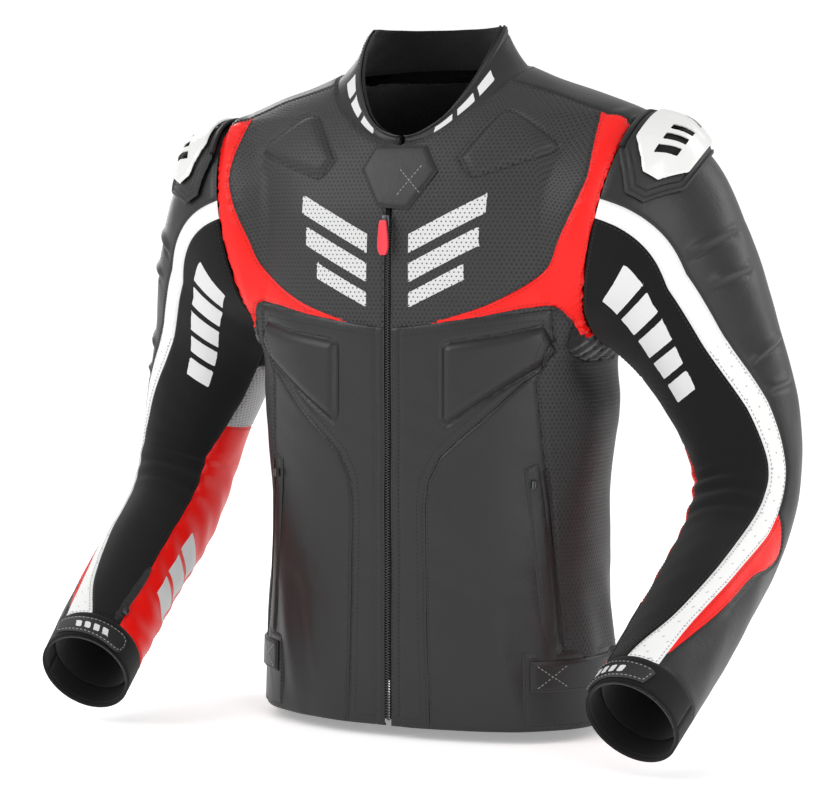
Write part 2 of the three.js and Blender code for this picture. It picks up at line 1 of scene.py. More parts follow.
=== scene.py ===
# Leather riding jacket: leather, fabric, stitching, zips and armour built round the fixed frame.
# Sizes are in millimetres from the centre of the front hem; the wearer's left is +X, the front is -Y.
import json
import math

import bpy
import numpy as np
from mathutils import Matrix, Vector
from mathutils.bvhtree import BVHTree
from mathutils.kdtree import KDTree

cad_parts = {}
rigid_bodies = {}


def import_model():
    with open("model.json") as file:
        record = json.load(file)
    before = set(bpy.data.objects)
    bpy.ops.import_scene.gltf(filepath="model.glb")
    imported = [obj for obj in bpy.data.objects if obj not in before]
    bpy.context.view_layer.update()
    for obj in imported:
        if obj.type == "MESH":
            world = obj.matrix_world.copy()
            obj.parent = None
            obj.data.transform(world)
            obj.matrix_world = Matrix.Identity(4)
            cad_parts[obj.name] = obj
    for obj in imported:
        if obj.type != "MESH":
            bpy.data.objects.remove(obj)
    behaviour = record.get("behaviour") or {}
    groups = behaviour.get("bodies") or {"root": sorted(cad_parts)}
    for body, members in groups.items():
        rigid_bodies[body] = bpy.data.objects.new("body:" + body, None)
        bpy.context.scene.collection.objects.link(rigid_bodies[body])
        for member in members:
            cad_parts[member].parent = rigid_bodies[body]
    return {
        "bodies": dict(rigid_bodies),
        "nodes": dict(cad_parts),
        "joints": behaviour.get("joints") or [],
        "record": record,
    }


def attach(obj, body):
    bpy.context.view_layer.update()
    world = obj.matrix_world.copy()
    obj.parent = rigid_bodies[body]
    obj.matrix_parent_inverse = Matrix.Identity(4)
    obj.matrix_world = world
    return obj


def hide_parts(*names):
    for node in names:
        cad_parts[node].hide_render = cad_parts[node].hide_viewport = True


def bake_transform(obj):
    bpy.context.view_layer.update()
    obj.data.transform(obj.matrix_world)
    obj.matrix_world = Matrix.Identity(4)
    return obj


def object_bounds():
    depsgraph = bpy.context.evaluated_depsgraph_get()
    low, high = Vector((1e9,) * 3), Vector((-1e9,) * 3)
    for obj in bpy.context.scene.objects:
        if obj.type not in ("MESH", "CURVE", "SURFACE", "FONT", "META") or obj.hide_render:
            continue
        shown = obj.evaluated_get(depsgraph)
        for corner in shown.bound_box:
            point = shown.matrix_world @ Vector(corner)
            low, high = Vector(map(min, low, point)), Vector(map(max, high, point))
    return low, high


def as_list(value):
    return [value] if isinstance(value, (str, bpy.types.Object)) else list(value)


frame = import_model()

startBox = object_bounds()
bothSides = (("left", 1), ("right", -1))
hangPoint = np.array([0.0, 45.0, 640.0])
leatherWall = 2.4


def toFrame(points):
    return (np.asarray(points, float) - hangPoint) / 1000


def toLinear(hexColor):
    channels = [int(hexColor[i : i + 2], 16) / 255 for i in (1, 3, 5)]
    return [c / 12.92 if c <= 0.04045 else ((c + 0.055) / 1.055) ** 2.4 for c in channels] + [1]


def addNode(tree, kind, inputs, **settings):
    node = tree.nodes.new(kind)
    for key, value in settings.items():
        setattr(node, key, value)
    for key, value in inputs.items():
        if isinstance(value, bpy.types.NodeSocket):
            tree.links.new(value, node.inputs[key])
        else:
            node.inputs[key].default_value = value
    return node


def startMaterial(name, color, roughness, **sockets):
    material = bpy.data.materials.new(name)
    material.use_nodes = True
    tree = material.node_tree
    shader = tree.nodes["Principled BSDF"]
    shader.inputs["Base Color"].default_value = toLinear(color)
    shader.inputs["Roughness"].default_value = roughness
    for key, value in sockets.items():
        shader.inputs[key.replace("_", " ")].default_value = value
    return material, tree, shader


def clothCoordinates(tree, scale):
    cloth = addNode(tree, "ShaderNodeUVMap", {}, uv_map="cloth")
    factors = (scale, scale, 0)
    return addNode(tree, "ShaderNodeVectorMath", {0: cloth.outputs[0], 1: factors}, operation="MULTIPLY")


# Distance, in metres, to the nearest of a staggered set of holes.
def holeDistance(tree, pitch):
    kind = "ShaderNodeVectorMath"
    cell = (pitch, pitch * 1.732, 0)
    cloth = clothCoordinates(tree, 1)
    places = addNode(tree, kind, {0: cloth.outputs[0], 1: (*cell[:2], 1)}, operation="DIVIDE")
    lengths = []
    for shift in (0, 0.5):
        moved = addNode(tree, kind, {0: places.outputs[0], 1: (shift, shift, 0)})
        share = addNode(tree, kind, {0: moved.outputs[0]}, operation="FRACTION")
        middle = addNode(tree, kind, {0: share.outputs[0], 1: (0.5, 0.5, 0)}, operation="SUBTRACT")
        real = addNode(tree, kind, {0: middle.outputs[0], 1: cell}, operation="MULTIPLY")
        lengths.append(addNode(tree, kind, {0: real.outputs[0]}, operation="LENGTH").outputs["Value"])
    return addNode(tree, "ShaderNodeMath", {0: lengths[0], 1: lengths[1]}, operation="MINIMUM").outputs[0]


# Leather: grain from small cells, soft creases, and punched holes where a pitch is given; the holes are
# painted shade in the depth colour.
def makeLeather(
    name, color, roughness=0.46, grain=0.25, pitch=None, hole=0.0008, depth="#060606", shine=0.45
):
    material, tree, shader = startMaterial(name, color, roughness, Specular_IOR_Level=shine)
    place = addNode(tree, "ShaderNodeTexCoord", {}).outputs["Object"]
    cells = addNode(tree, "ShaderNodeTexVoronoi", {"Vector": place, "Scale": 620.0}, feature="SMOOTH_F1")
    creases = addNode(
        tree, "ShaderNodeTexNoise", {"Vector": place, "Scale": 55.0, "Detail": 5.0, "Roughness": 0.6}
    )
    patches = addNode(tree, "ShaderNodeTexNoise", {"Vector": place, "Scale": 9.0, "Detail": 3.0})
    rough = addNode(
        tree, "ShaderNodeMapRange", {0: patches.outputs[0], 3: roughness - 0.07, 4: roughness + 0.08}
    )
    tree.links.new(rough.outputs[0], shader.inputs["Roughness"])
    bump = addNode(
        tree, "ShaderNodeBump", {"Height": cells.outputs["Distance"], "Strength": grain, "Distance": 0.0004}
    )
    soft = addNode(
        tree,
        "ShaderNodeBump",
        {"Height": creases.outputs[0], "Strength": 0.3, "Distance": 0.0016, "Normal": bump.outputs[0]},
    )
    last = soft
    if pitch:
        distance = holeDistance(tree, pitch)
        # painted shade: the holes are not cut, and each is filled with the darker depth colour in place of
        # the shadow inside it
        edge = addNode(tree, "ShaderNodeMapRange", {0: distance, 1: hole * 0.7, 2: hole * 1.15})
        ends = {6: toLinear(depth), 7: toLinear(color)}
        mix = addNode(tree, "ShaderNodeMix", {0: edge.outputs[0], **ends}, data_type="RGBA")
        tree.links.new(mix.outputs[2], shader.inputs["Base Color"])
        last = addNode(
            tree,
            "ShaderNodeBump",
            {"Height": edge.outputs[0], "Strength": 0.7, "Distance": 0.0006, "Normal": soft.outputs[0]},
        )
    tree.links.new(last.outputs[0], shader.inputs["Normal"])
    return material


# Knitted or woven cloth: two crossing thread waves of a real pitch, in metres.
def makeCloth(name, color, pitch=0.0011, roughness=0.9, relief=0.5, sheen=0.35):
    sockets = {"Sheen_Weight": sheen, "Specular_IOR_Level": 0.2}
    material, tree, shader = startMaterial(name, color, roughness, **sockets)
    cloth = clothCoordinates(tree, 1 / pitch)
    waves = []
    for direction in ("X", "Y"):
        wave = addNode(
            tree,
            "ShaderNodeTexWave",
            {"Vector": cloth.outputs[0], "Scale": 0.3, "Distortion": 0.6, "Detail": 1.0},
            bands_direction=direction,
        )
        waves.append(wave.outputs["Fac"])
    weave = addNode(tree, "ShaderNodeMath", {0: waves[0], 1: waves[1]}, operation="MULTIPLY")
    shade = addNode(tree, "ShaderNodeMapRange", {0: weave.outputs[0], 3: 0.75, 4: 1.25})
    tint = addNode(
        tree,
        "ShaderNodeVectorMath",
        {0: toLinear(color)[:3], "Scale": shade.outputs[0]},
        operation="SCALE",
    )
    tree.links.new(tint.outputs[0], shader.inputs["Base Color"])
    bump = addNode(
        tree, "ShaderNodeBump", {"Height": weave.outputs[0], "Strength": relief, "Distance": 0.0004}
    )
    tree.links.new(bump.outputs[0], shader.inputs["Normal"])
    return material


# A moulded or metal surface with a fine even texture.
def makeSolid(name, color, roughness, metal=0.0, texture=0.1, scale=900.0, coat=0.0):
    material, tree, shader = startMaterial(name, color, roughness, Metallic=metal, Coat_Weight=coat)
    place = addNode(tree, "ShaderNodeTexCoord", {}).outputs["Object"]
    noise = addNode(tree, "ShaderNodeTexNoise", {"Vector": place, "Scale": scale, "Detail": 3.0})
    bump = addNode(
        tree, "ShaderNodeBump", {"Height": noise.outputs[0], "Strength": texture, "Distance": 0.0003}
    )
    tree.links.new(bump.outputs[0], shader.inputs["Normal"])
    return material


# smooth cowhide of the fronts: dull black with a faint broad sheen
blackLeather = makeLeather("black cowhide", "#141415", 0.42)
# the same hide punched with fine holes, which reads greyer
punchedLeather = makeLeather("punched black cowhide", "#252526", 0.48, pitch=0.0046, hole=0.0013)
# coarser punching on the sides
sideLeather = makeLeather("punched side cowhide", "#1c1c1d", 0.5, pitch=0.0046, hole=0.0013)
# bright dyed hide with orange highlights
redLeather = makeLeather("red cowhide", "#e20d05", 0.42, grain=0.2, shine=0.3)
# white coated hide of the stripes, slightly glossy
whiteLeather = makeLeather("white cowhide", "#dededd", 0.38, grain=0.15)
# white hide of the forearm, with a row of vent holes painted grey as shade
ventedWhite = makeLeather(
    "vented white cowhide", "#dededd", 0.38, grain=0.15, pitch=0.0135, hole=0.0008, depth="#9a9a9a"
)
# pale grey punched hide inside the elbow, its holes painted darker grey as shade
greyLeather = makeLeather("punched grey cowhide", "#a8a8a8", 0.5, pitch=0.0044, depth="#4a4a4a")
# flat light grey ink; the holes still show through it, painted dark as shade
printedLeather = makeLeather("grey ink on punched cowhide", "#c4c4c4", 0.55, pitch=0.0046, depth="#2b2b2b")
# the ink on the plain sleeves
greyInk = makeLeather("grey ink", "#cfcfcf", 0.5, grain=0.1)
# matt black aramid stretch knit
stretchKnit = makeCloth("black stretch knit", "#0f0f0f", 0.0016, sheen=0.1)
# thicker rib knit at the armpit, with a slight shine along each rib
ribbedKnit = makeCloth("ribbed stretch knit", "#0e0e0f", 0.0014, 0.55, sheen=0.3)
# closed-cell rubber with a knit face
neopreneKnit = makeCloth("neoprene knit", "#0d0d0d", 0.0012, 0.85, sheen=0.1)
# thin black mesh lining
liningMesh = makeCloth("mesh lining", "#0c0c0c", 0.0024, 0.95, relief=0.8, sheen=0.2)
# zip tape, woven fine and flat
zipTape = makeCloth("woven zip tape", "#151515", 0.0009, 0.85)
# open-cell armour foam, soft grey
armourFoam = makeSolid("armour foam", "#3f4043", 0.85, texture=0.7, scale=500.0)
# glossy injection-moulded cup
cupPlastic = makeSolid("white moulded plastic", "#d6d6d4", 0.24, coat=0.35, texture=0.02)
# satin black rubber round the cup
blackRubber = makeSolid("black rubber", "#151515", 0.55, texture=0.25)
# darkened zinc of sliders
zipMetal = makeSolid("gunmetal zinc", "#55565a", 0.32, metal=0.95, texture=0.05)
# moulded plastic teeth
toothPlastic = makeSolid("black zip teeth", "#1d1d1e", 0.35, coat=0.3)
# translucent-looking soft red pull
pullRubber = makeSolid("red rubber pull", "#d8303e", 0.38, texture=0.08)
# bonded nylon threads
blackThread = makeSolid("black thread", "#101010", 0.5)
greyThread = makeSolid("grey thread", "#8d8d8d", 0.5)
redThread = makeSolid("red thread", "#a80d06", 0.5)
whiteThread = makeSolid("white thread", "#dedede", 0.5)
print("materials")


def makeObject(name, points, faces, material, uv=None):
    mesh = bpy.data.meshes.new(name)
    mesh.from_pydata(toFrame(points).tolist(), [], [list(map(int, face)) for face in faces])
    if uv is not None:
        layer = mesh.uv_layers.new(name="cloth")
        corners = np.zeros(len(mesh.loops), np.int32)
        mesh.loops.foreach_get("vertex_index", corners)
        layer.data.foreach_set("uv", np.asarray(uv, np.float32)[corners].ravel())
    mesh.shade_smooth()
    mesh.materials.append(material)
    made = bpy.data.objects.new(name, mesh)
    bpy.context.collection.objects.link(made)
    return made


def vertexNormals(points, faces):
    a, b, c = (points[faces[:, i]] for i in range(3))
    across = np.cross(b - a, c - a)
    normals = np.zeros((len(points), 3))
    for i in range(3):
        for axis in range(3):
            normals[:, axis] += np.bincount(faces[:, i], across[:, axis], len(points))
    return normals / np.maximum(np.linalg.norm(normals, axis=1, keepdims=True), 1e-9)


# The edges used by one triangle only, in that triangle's direction.
def openEdges(faces):
    edges = np.vstack([faces[:, (0, 1)], faces[:, (1, 2)], faces[:, (2, 0)]])
    size = faces.max() + 1
    return edges[~np.isin(edges[:, 0] * size + edges[:, 1], edges[:, 1] * size + edges[:, 0])]


def gridFaces(rows, columns, closed=False):
    i, j = np.meshgrid(np.arange(rows - 1), np.arange(columns if closed else columns - 1), indexing="ij")
    a, b = i * columns + j, i * columns + (j + 1) % columns
    c, d = a + columns, b + columns
    return np.vstack([np.stack([x.ravel() for x in tri], 1) for tri in ((a, b, d), (a, d, c))])


# Signed distance from the rows of (x, z) to an outline, negative inside.
def outlineDistance(outline, x, z):
    nearest, inside = np.full(x.shape, 1e9), np.zeros(x.shape, bool)
    for (x0, z0), (x1, z1) in zip(outline, outline[1:] + outline[:1]):
        dx, dz = x1 - x0, z1 - z0
        share = np.clip(((x - x0) * dx + (z - z0) * dz) / max(dx * dx + dz * dz, 1e-9), 0, 1)
        nearest = np.minimum(nearest, np.hypot(x - x0 - share * dx, z - z0 - share * dz))
        if z0 != z1:
            inside ^= ((z0 > z) != (z1 > z)) & (x < x0 + (z - z0) * dx / dz)
    return np.where(inside, -nearest, nearest)


# Splits the triangles of a sheet along the zero line of values given at its points.
def splitSheet(sheet, values):
    values = np.where(np.abs(values) < 0.3, 0, values)
    sign, table, faces = np.sign(values), sheet["table"], sheet["faces"]
    crossing = (sign[faces].min(1) < 0) & (sign[faces].max(1) > 0)
    made, rows, triangles = {}, [], []
    for triangle in faces[crossing]:
        ring = []
        for a, b in zip(triangle, np.roll(triangle, -1)):
            ring.append((a, sign[a]))
            if sign[a] * sign[b] < 0:
                key = (min(a, b), max(a, b))
                if key not in made:
                    made[key] = len(table) + len(rows)
                    share = values[a] / (values[a] - values[b])
                    rows.append(table[a] * (1 - share) + table[b] * share)
                ring.append((made[key], 0))
        for half in (1, -1):
            part = [v for v, s in ring if s * half >= 0]
            triangles += [(part[0], part[i], part[i + 1]) for i in range(1, len(part) - 1)]
    if rows:
        sheet["table"] = np.vstack([table, rows])
        sheet["faces"] = np.vstack([faces[~crossing], triangles])


def keepFaces(sheet, kept):
    faces = sheet["faces"][kept]
    used, index = np.unique(faces, return_inverse=True)
    return {"table": sheet["table"][used], "faces": index.reshape(-1, 3)}


def faceMiddles(sheet):
    return sheet["table"][sheet["faces"]].mean(1)


# Distance from each point to the open edges, leaving out edges where skip(points) says so.
def edgeDistance(points, faces, skip=None):
    edges = openEdges(faces)
    if skip is not None:
        edges = edges[~(skip[edges[:, 0]] & skip[edges[:, 1]])]
    start, end = points[edges[:, 0]], points[edges[:, 1]]
    samples = np.vstack([start * (1 - t) + end * t for t in (0, 0.25, 0.5, 0.75)])
    tree = KDTree(len(samples))
    for i, sample in enumerate(samples):
        tree.insert(sample, i)
    tree.balance()
    return np.array([tree.find(p)[2] for p in points])


# Chains the zero line of a field into lists of (point, normal).
def contourLines(points, normals, faces, field):
    crossing = faces[(field[faces].min(1) < 0) & (field[faces].max(1) > 0)]
    spots, links = {}, {}
    for triangle in crossing:
        ends = []
        for a, b in zip(triangle, np.roll(triangle, -1)):
            if (field[a] < 0) != (field[b] < 0):
                key = (min(a, b), max(a, b))
                share = field[a] / (field[a] - field[b])
                spots[key] = np.concatenate([x[a] * (1 - share) + x[b] * share for x in (points, normals)])
                ends.append(key)
        if len(ends) == 2:
            links.setdefault(ends[0], []).append(ends[1])
            links.setdefault(ends[1], []).append(ends[0])
    chains, left = [], dict.fromkeys(sorted(links, key=lambda k: (len(links[k]), k)))
    while left:
        chain = [next(iter(left))]
        del left[chain[0]]
        while True:
            onward = [k for k in links[chain[-1]] if k in left]
            if not onward:
                break
            chain.append(onward[0])
            del left[onward[0]]
        chains.append(np.array([spots[k] for k in chain]))
    return chains


stitching = {"length": 3.1, "pitch": 4.2, "radius": 0.42, "sides": 5}
stitchGroups = {}


# Lays stitches along a line of points and normals; the group says what they move with and their thread.
def sewLine(line, group, pitch=None):
    pitch = pitch or stitching["pitch"]
    steps = np.linalg.norm(np.diff(line[:, :3], axis=0), axis=1)
    walked = np.concatenate([[0], np.cumsum(steps)])
    if walked[-1] < pitch * 1.5:
        return
    at = np.arange(pitch / 2, walked[-1], pitch)
    spots = np.stack([np.interp(at, walked, line[:, i]) for i in range(6)], 1)
    half = stitching["length"] / 2 * pitch / stitching["pitch"]
    ends = [np.stack([np.interp(at + s, walked, line[:, i]) for i in range(3)], 1) for s in (-half, half)]
    along = ends[1] - ends[0]
    along /= np.maximum(np.linalg.norm(along, axis=1, keepdims=True), 1e-9)
    stitchGroups.setdefault(group, []).append(np.hstack([spots, along, np.full((len(at), 1), half)]))


def stitchMesh(name, rows, material):
    middle, normal, along, half = rows[:, :3], rows[:, 3:6], rows[:, 6:9], rows[:, 9:10]
    across = np.cross(normal, along)
    across /= np.maximum(np.linalg.norm(across, axis=1, keepdims=True), 1e-9)
    radius, sides = stitching["radius"], stitching["sides"]
    turns = np.arange(sides) / sides * 2 * math.pi
    points = []
    for share, width, sink in ((-1, 0.35, -0.5), (-0.55, 1, 0.05), (0.55, 1, 0.05), (1, 0.35, -0.5)):
        for turn in turns:
            out = math.sin(turn) * radius * width + sink
            side = across * math.cos(turn) * radius * width + normal * out
            points.append(middle + along * half * share + side)
    points = np.stack(points, 1)
    rings = [[(i * sides + j, i * sides + (j + 1) % sides) for j in range(sides)] for i in range(4)]
    quads = [(b, a, a + sides, b + sides) for ring in rings[:3] for a, b in ring]
    count = 4 * sides
    caps = [tuple(range(sides)), tuple(range(count - 1, count - sides - 1, -1))]
    faces = [tuple(v + k * count for v in face) for k in range(len(points)) for face in quads + caps]
    return makeObject(name, points.reshape(-1, 3), faces, material)


bodySections = np.array(
    [
        [-6, 183, 119, 116],
        [60, 181, 119, 112],
        [130, 176, 119, 104],
        [220, 174, 119, 106],
        [300, 183, 119, 116],
        [370, 196, 119, 126],
        [440, 207, 119, 130],
        [500, 217, 115, 130],
        [548, 227, 101, 124],
        [573, 231, 88, 116],
        [588, 226, 79, 108],
        [598, 204, 71, 102],
        [608, 174, 65, 96],
        [618, 145, 59, 88],
        [628, 117, 52, 80],
        [638, 92, 45, 70],
        [648, 60, 30, 55],
    ],
    float,
)
squareness = 2.3
sleeveLine = [
    (140, -8, 484),
    (196, -6, 472),
    (236, 12, 430),
    (270, 32, 368),
    (297, 40, 302),
    (311, 32, 238),
    (309, -2, 186),
    (304, -70, 138),
    (296, -140, 92),
    (286, -208, 46),
]
sleeveRadii = [(112, 84), (116, 86), (92, 78), (72, 68), (60, 62)]
sleeveRadii += [(51, 56), (48, 52), (47, 50), (46, 49), (44, 48)]
knotLengths = [-56, 0, 61, 134, 206, 275, 337, 421, 504, 587]
armholeMiddle = np.array([198.0, 0, 472])
armholeTilt = math.radians(12)
armholeNormal = np.array([math.cos(armholeTilt), 0, -math.sin(armholeTilt)])


def smoothStep(low, high, x):
    t = np.clip((x - low) / (high - low), 0, 1)
    return t * t * (3 - 2 * t)


# The section heights are rounded off so that no crease shows between them.
heights = np.arange(-6, 649, 1.0)


def softened(column, width):
    raw = np.interp(heights, bodySections[:, 0], bodySections[:, column])
    kernel = np.exp(-0.5 * (np.arange(-30, 31) / width) ** 2)
    padded = np.pad(raw, 30, mode="reflect", reflect_type="odd")
    return np.convolve(padded, kernel / kernel.sum(), "valid")


topShare = smoothStep(560, 590, heights)
softSections = [softened(i, 9) * (1 - topShare) + softened(i, 3) * topShare for i in (1, 2, 3)]


def bodyRadius(turn, z):
    width, front, back = (np.interp(z, heights, column) for column in softSections)
    depth = np.where(np.cos(turn) > 0, front, back)
    powers = np.abs(np.sin(turn) / width) ** squareness + np.abs(np.cos(turn) / depth) ** squareness
    return powers ** (-1 / squareness)


def bodyPoints(turn, z, raised=0.0):
    radius = bodyRadius(turn, z) + raised
    return np.stack([radius * np.sin(turn), -radius * np.cos(turn), z + 0 * turn], -1)


# The turn at which the body's front reaches x at height z.
def turnAt(x, z):
    width, front, _ = (np.interp(z, heights, column) for column in softSections)
    y = front * (1 - np.minimum(np.abs(x) / width, 0.9999) ** squareness) ** (1 / squareness)
    return np.arctan2(x, y)


def catmullRom(rows, knots):
    rows = np.asarray(rows, float)
    rows = np.vstack([2 * rows[0] - rows[1], rows, 2 * rows[-1] - rows[-2]])
    first = np.clip(np.floor(knots).astype(int), 0, len(rows) - 4)
    t = (knots - first)[..., None]
    p0, p1, p2, p3 = (rows[first + i] for i in range(4))
    a, b, c = (p2 - p0) / 2, p0 - 2.5 * p1 + 2 * p2 - 0.5 * p3, 1.5 * (p1 - p2) + 0.5 * (p3 - p0)
    return p1 + a * t + b * t**2 + c * t**3, a + 2 * b * t + 3 * c * t**2


# Points of a sleeve: 0 degrees is outwards, 90 forwards, 180 towards the body.
def sleevePoints(side, degrees, knots, raised=0.0):
    degrees, knots = np.broadcast_arrays(np.asarray(degrees, float), np.asarray(knots, float))
    middle, along = catmullRom(sleeveLine, knots)
    along /= np.linalg.norm(along, axis=-1, keepdims=True)
    lean = np.clip((knots - 1) / 3, 0, 1)
    out = np.stack([0.2 + 0.8 * lean, 0 * lean, 1 - lean], -1)
    out -= along * (out * along).sum(-1, keepdims=True)
    out /= np.linalg.norm(out, axis=-1, keepdims=True)
    front = np.cross(out, along)
    front *= np.where(front[..., 1:2] > 0, -1, 1)
    radii, _ = catmullRom(sleeveRadii, knots)
    turn = np.radians(degrees)
    points = middle + out * ((radii[..., 0] + raised) * np.cos(turn))[..., None]
    points += front * ((radii[..., 1] + raised) * np.sin(turn))[..., None]
    return points * [side, 1, 1]


# Brings the right half's places over to the left.
def foldSides(points):
    return np.stack([np.abs(points[..., 0]), points[..., 1], points[..., 2]], -1)


def armholeDistance(points):
    return (foldSides(points) - armholeMiddle) @ armholeNormal


# A curve through points, as a finer list of points.
def smoothLine(points, steps=6):
    knots = np.linspace(0, len(points) - 1, (len(points) - 1) * steps + 1)
    return [tuple(p) for p in catmullRom(points, knots)[0]]


# The knot at which the sleeve's tube crosses the armhole's plane, for each direction.
searchKnots = np.linspace(0.3, 2.2, 60)
planeTurns = np.arange(-180, 361, 6.0)
planeDistances = armholeDistance(sleevePoints(1, planeTurns[:, None], searchKnots[None, :]))
planeKnots = np.array([np.interp(0, row, searchKnots) for row in planeDistances])
planeUp = np.array([-armholeNormal[2], 0, armholeNormal[0]])


def planePlace(points):
    mirrored = foldSides(points) - armholeMiddle
    return mirrored[..., 1], mirrored @ planeUp


openingTurns = np.arange(0, 360, 4.0)
openingRim = sleevePoints(1, openingTurns, np.interp(openingTurns, planeTurns, planeKnots), -1.0)
opening = [tuple(p) for p in np.stack(planePlace(openingRim), 1)]


torso = {
    "columns": 340,
    "rowStep": 3.0,
    "blendWidth": 26.0,
    "zipHalf": 3.4,
    "foldHeight": 0.9,
    "padHeight": 4.0,
    "ribPitch": 9.5,
    "ribHeight": 2.2,
}

# The sleeve head's tube, which the body's surface swells out to meet.
headKnots = np.linspace(0, 2, 90)
headTube = sleevePoints(1, np.arange(0, 360, 1.5)[None, :], headKnots[:, None]).reshape(-1, 3)
headTree = BVHTree.FromPolygons(headTube.tolist(), gridFaces(90, 240, True).tolist())


def headRadius(turn, z):
    away = Vector((abs(math.sin(turn)), -math.cos(turn), 0))
    hit = headTree.ray_cast(away * 450 + Vector((0, 0, z)), -away)[0]
    return math.hypot(hit.x, hit.y) if hit else 0.0


def torsoTable(raised=0.0, columns=None, rowStep=None):
    rowStep = rowStep or torso["rowStep"]
    turns = np.linspace(0, 2 * math.pi, (columns or torso["columns"]), endpoint=False)
    levels = np.concatenate([np.arange(0, 582, rowStep), np.arange(582, 649, rowStep / 2)])
    turn, z = np.meshgrid(turns, levels)
    radius = bodyRadius(turn, z)
    near = (z > 330) & (z < 600) & (np.abs(np.sin(turn)) > 0.25)
    head = np.zeros(z.shape)
    head[near] = [headRadius(*pair) for pair in zip(turn[near], z[near])]
    flat = np.stack([np.maximum(radius, head) * np.sin(turn), -radius * np.cos(turn), z], -1)
    reach = armholeDistance(flat)
    blend = torso["blendWidth"] * np.clip(-reach / 20, 0.02, 1) * smoothStep(-56, -22, reach)
    radius = np.where(head > 20, (radius + head + np.sqrt((radius - head) ** 2 + blend**2)) / 2, radius)
    plane = armholeMiddle[0] + (z - armholeMiddle[2]) * math.tan(armholeTilt)
    slack = 26 * (1 - smoothStep(300, 356, z)) + 200 * smoothStep(305, 200, z) - 0.2
    limit = (plane + slack) / np.maximum(np.abs(np.sin(turn)), 0.05)
    soft = 12 * smoothStep(280, 335, z) * (1 - smoothStep(356, 376, z)) + 0.4
    radius = (radius + limit - np.sqrt((radius - limit) ** 2 + soft**2)) / 2 + raised
    drop = -raised * smoothStep(480, 590, z)
    points = np.stack([radius * np.sin(turn), -radius * np.cos(turn), z - drop], -1)
    steps = np.linalg.norm(points - np.roll(points, 1, 1), axis=-1)
    around = np.cumsum(steps, 1) - steps[:, :1]
    girth = steps.sum(1, keepdims=True)
    fromBack = around - girth / 2
    around = np.where(turn > math.pi, around - girth, around)
    climb = np.zeros(z.shape)
    climb[1:] = np.cumsum(np.linalg.norm(np.diff(points, axis=0), axis=-1), 0)
    table = np.dstack([points, around / 1000, climb / 1000, turn, z, fromBack / 1000]).reshape(-1, 8)
    return table, gridFaces(len(levels), len(turns), True)


# Outlines of the panels and pads of one half, as (distance from the middle, height).
yokeInner = [(183, 645), (193, 545), (187, 512), (167, 470), (150, 438), (104, 409), (44, 389)]
yokeLower = [(92, 396), (130, 404), (152, 407), (163, 404), (171, 393), (177, 379), (183, 367)]
yokeFront = smoothLine(yokeInner) + yokeLower + [(300, 367), (300, 645)]
yokeRear = smoothLine([(183, 645), (190, 545), (178, 480), (168, 420), (166, 372)])
yokeRear += [(300, 372), (300, 645)]
gusset = [(172, 392), (166, 368), (171, 353), (181, 343), (197, 337), (320, 334), (320, 392)]
collarPad = [(66, 546), (80, 530), (92, 531), (128, 543), (158, 554), (150, 566), (112, 590), (98, 590)]
collarPad = smoothLine(collarPad, 3)
sidePad = [(56, 368), (56, 300), (60, 292), (150, 352), (160, 364), (150, 388), (112, 379), (62, 372)]

# Seams that rise from the hem, as (height, distance from the middle).
frontCurve = [(0, 44), (106, 41), (215, 39), (238, 42), (262, 54), (284, 78), (302, 99)]
frontCurve = np.array(frontCurve + [(334, 131), (352, 158), (372, 190)])
sideLine = np.array([(0, 165), (68, 161), (250, 147), (337, 141), (372, 156)])
chestLine = np.array([(0, 384), (44, 389), (165, 404), (240, 412)])  # (distance from the middle, height)
seams = {
    "shoulderHeight": 520,
    "shoulderDepth": 44,
    "shoulderInner": 30,
    "backHigh": 440,
    "backLow": 385,
    "backSide": 150,
    "stretchHalf": 172,
    "placketHalf": 13,
}


def seamValues(x, y, z):
    wide, front = np.abs(x), y < 0
    return {
        "yoke": np.where(front, outlineDistance(yokeFront, wide, z), outlineDistance(yokeRear, wide, z)),
        "shoulder": np.maximum.reduce(
            [seams["shoulderHeight"] - z, np.abs(y) - seams["shoulderDepth"], seams["shoulderInner"] - wide]
        ),
        "chest": np.interp(wide, *chestLine.T) - z,
        "gusset": outlineDistance(gusset, wide, z),
        "curve": wide - np.interp(z, *frontCurve.T),
        "side": wide - np.where(front, np.interp(z, *sideLine.T), seams["backSide"]),
        "backUpper": seams["backHigh"] - z,
        "backStretch": seams["backLow"] - z,
    }


def panelNames(x, y, z):
    v = seamValues(x, y, z)
    front = y < 0
    hand = np.where(x > 0, "_left", "_right")
    names = np.select(
        [
            v["shoulder"] < 0,
            v["yoke"] < 0,
            front & (v["chest"] < 0),
            v["gusset"] < 0,
            v["side"] > 0,
            front & (v["curve"] < 0),
            front,
        ],
        ["shoulder", "yoke", "chest", "gusset", "side", "front", "flank"],
        "back",
    )
    names = np.where((names == "yoke") & ~front, "yokeRear", names)
    rear = np.where(v["backStretch"] < 0, "backStretch", "backLower")
    rear = np.where(v["backUpper"] < 0, "backUpper", rear)
    back = (names == "back") | ((names == "side") & (~front) & (z > seams["backLow"]))
    return np.where(back, rear, np.char.add(names, hand))


def raisedPad(outline, x, z, height):
    distance = outlineDistance(outline, np.abs(x), z)
    rise = height * smoothStep(0, 8, -distance)
    groove = -1.6 * np.exp(-((distance / 1.8) ** 2))
    return rise + groove


def softFolds(points, height):
    x, y, z = points.T
    slow = np.sin(x / 27 + 1.7 * np.sin(z / 49 + y / 60)) * np.sin(z / 38 + 1.4 * np.sin(x / 33 + y / 29))
    quick = np.sin(x / 11 + z / 17 + 2 * np.sin(z / 23)) * np.sin(z / 13 - y / 15)
    return height * (slow + 0.25 * quick)


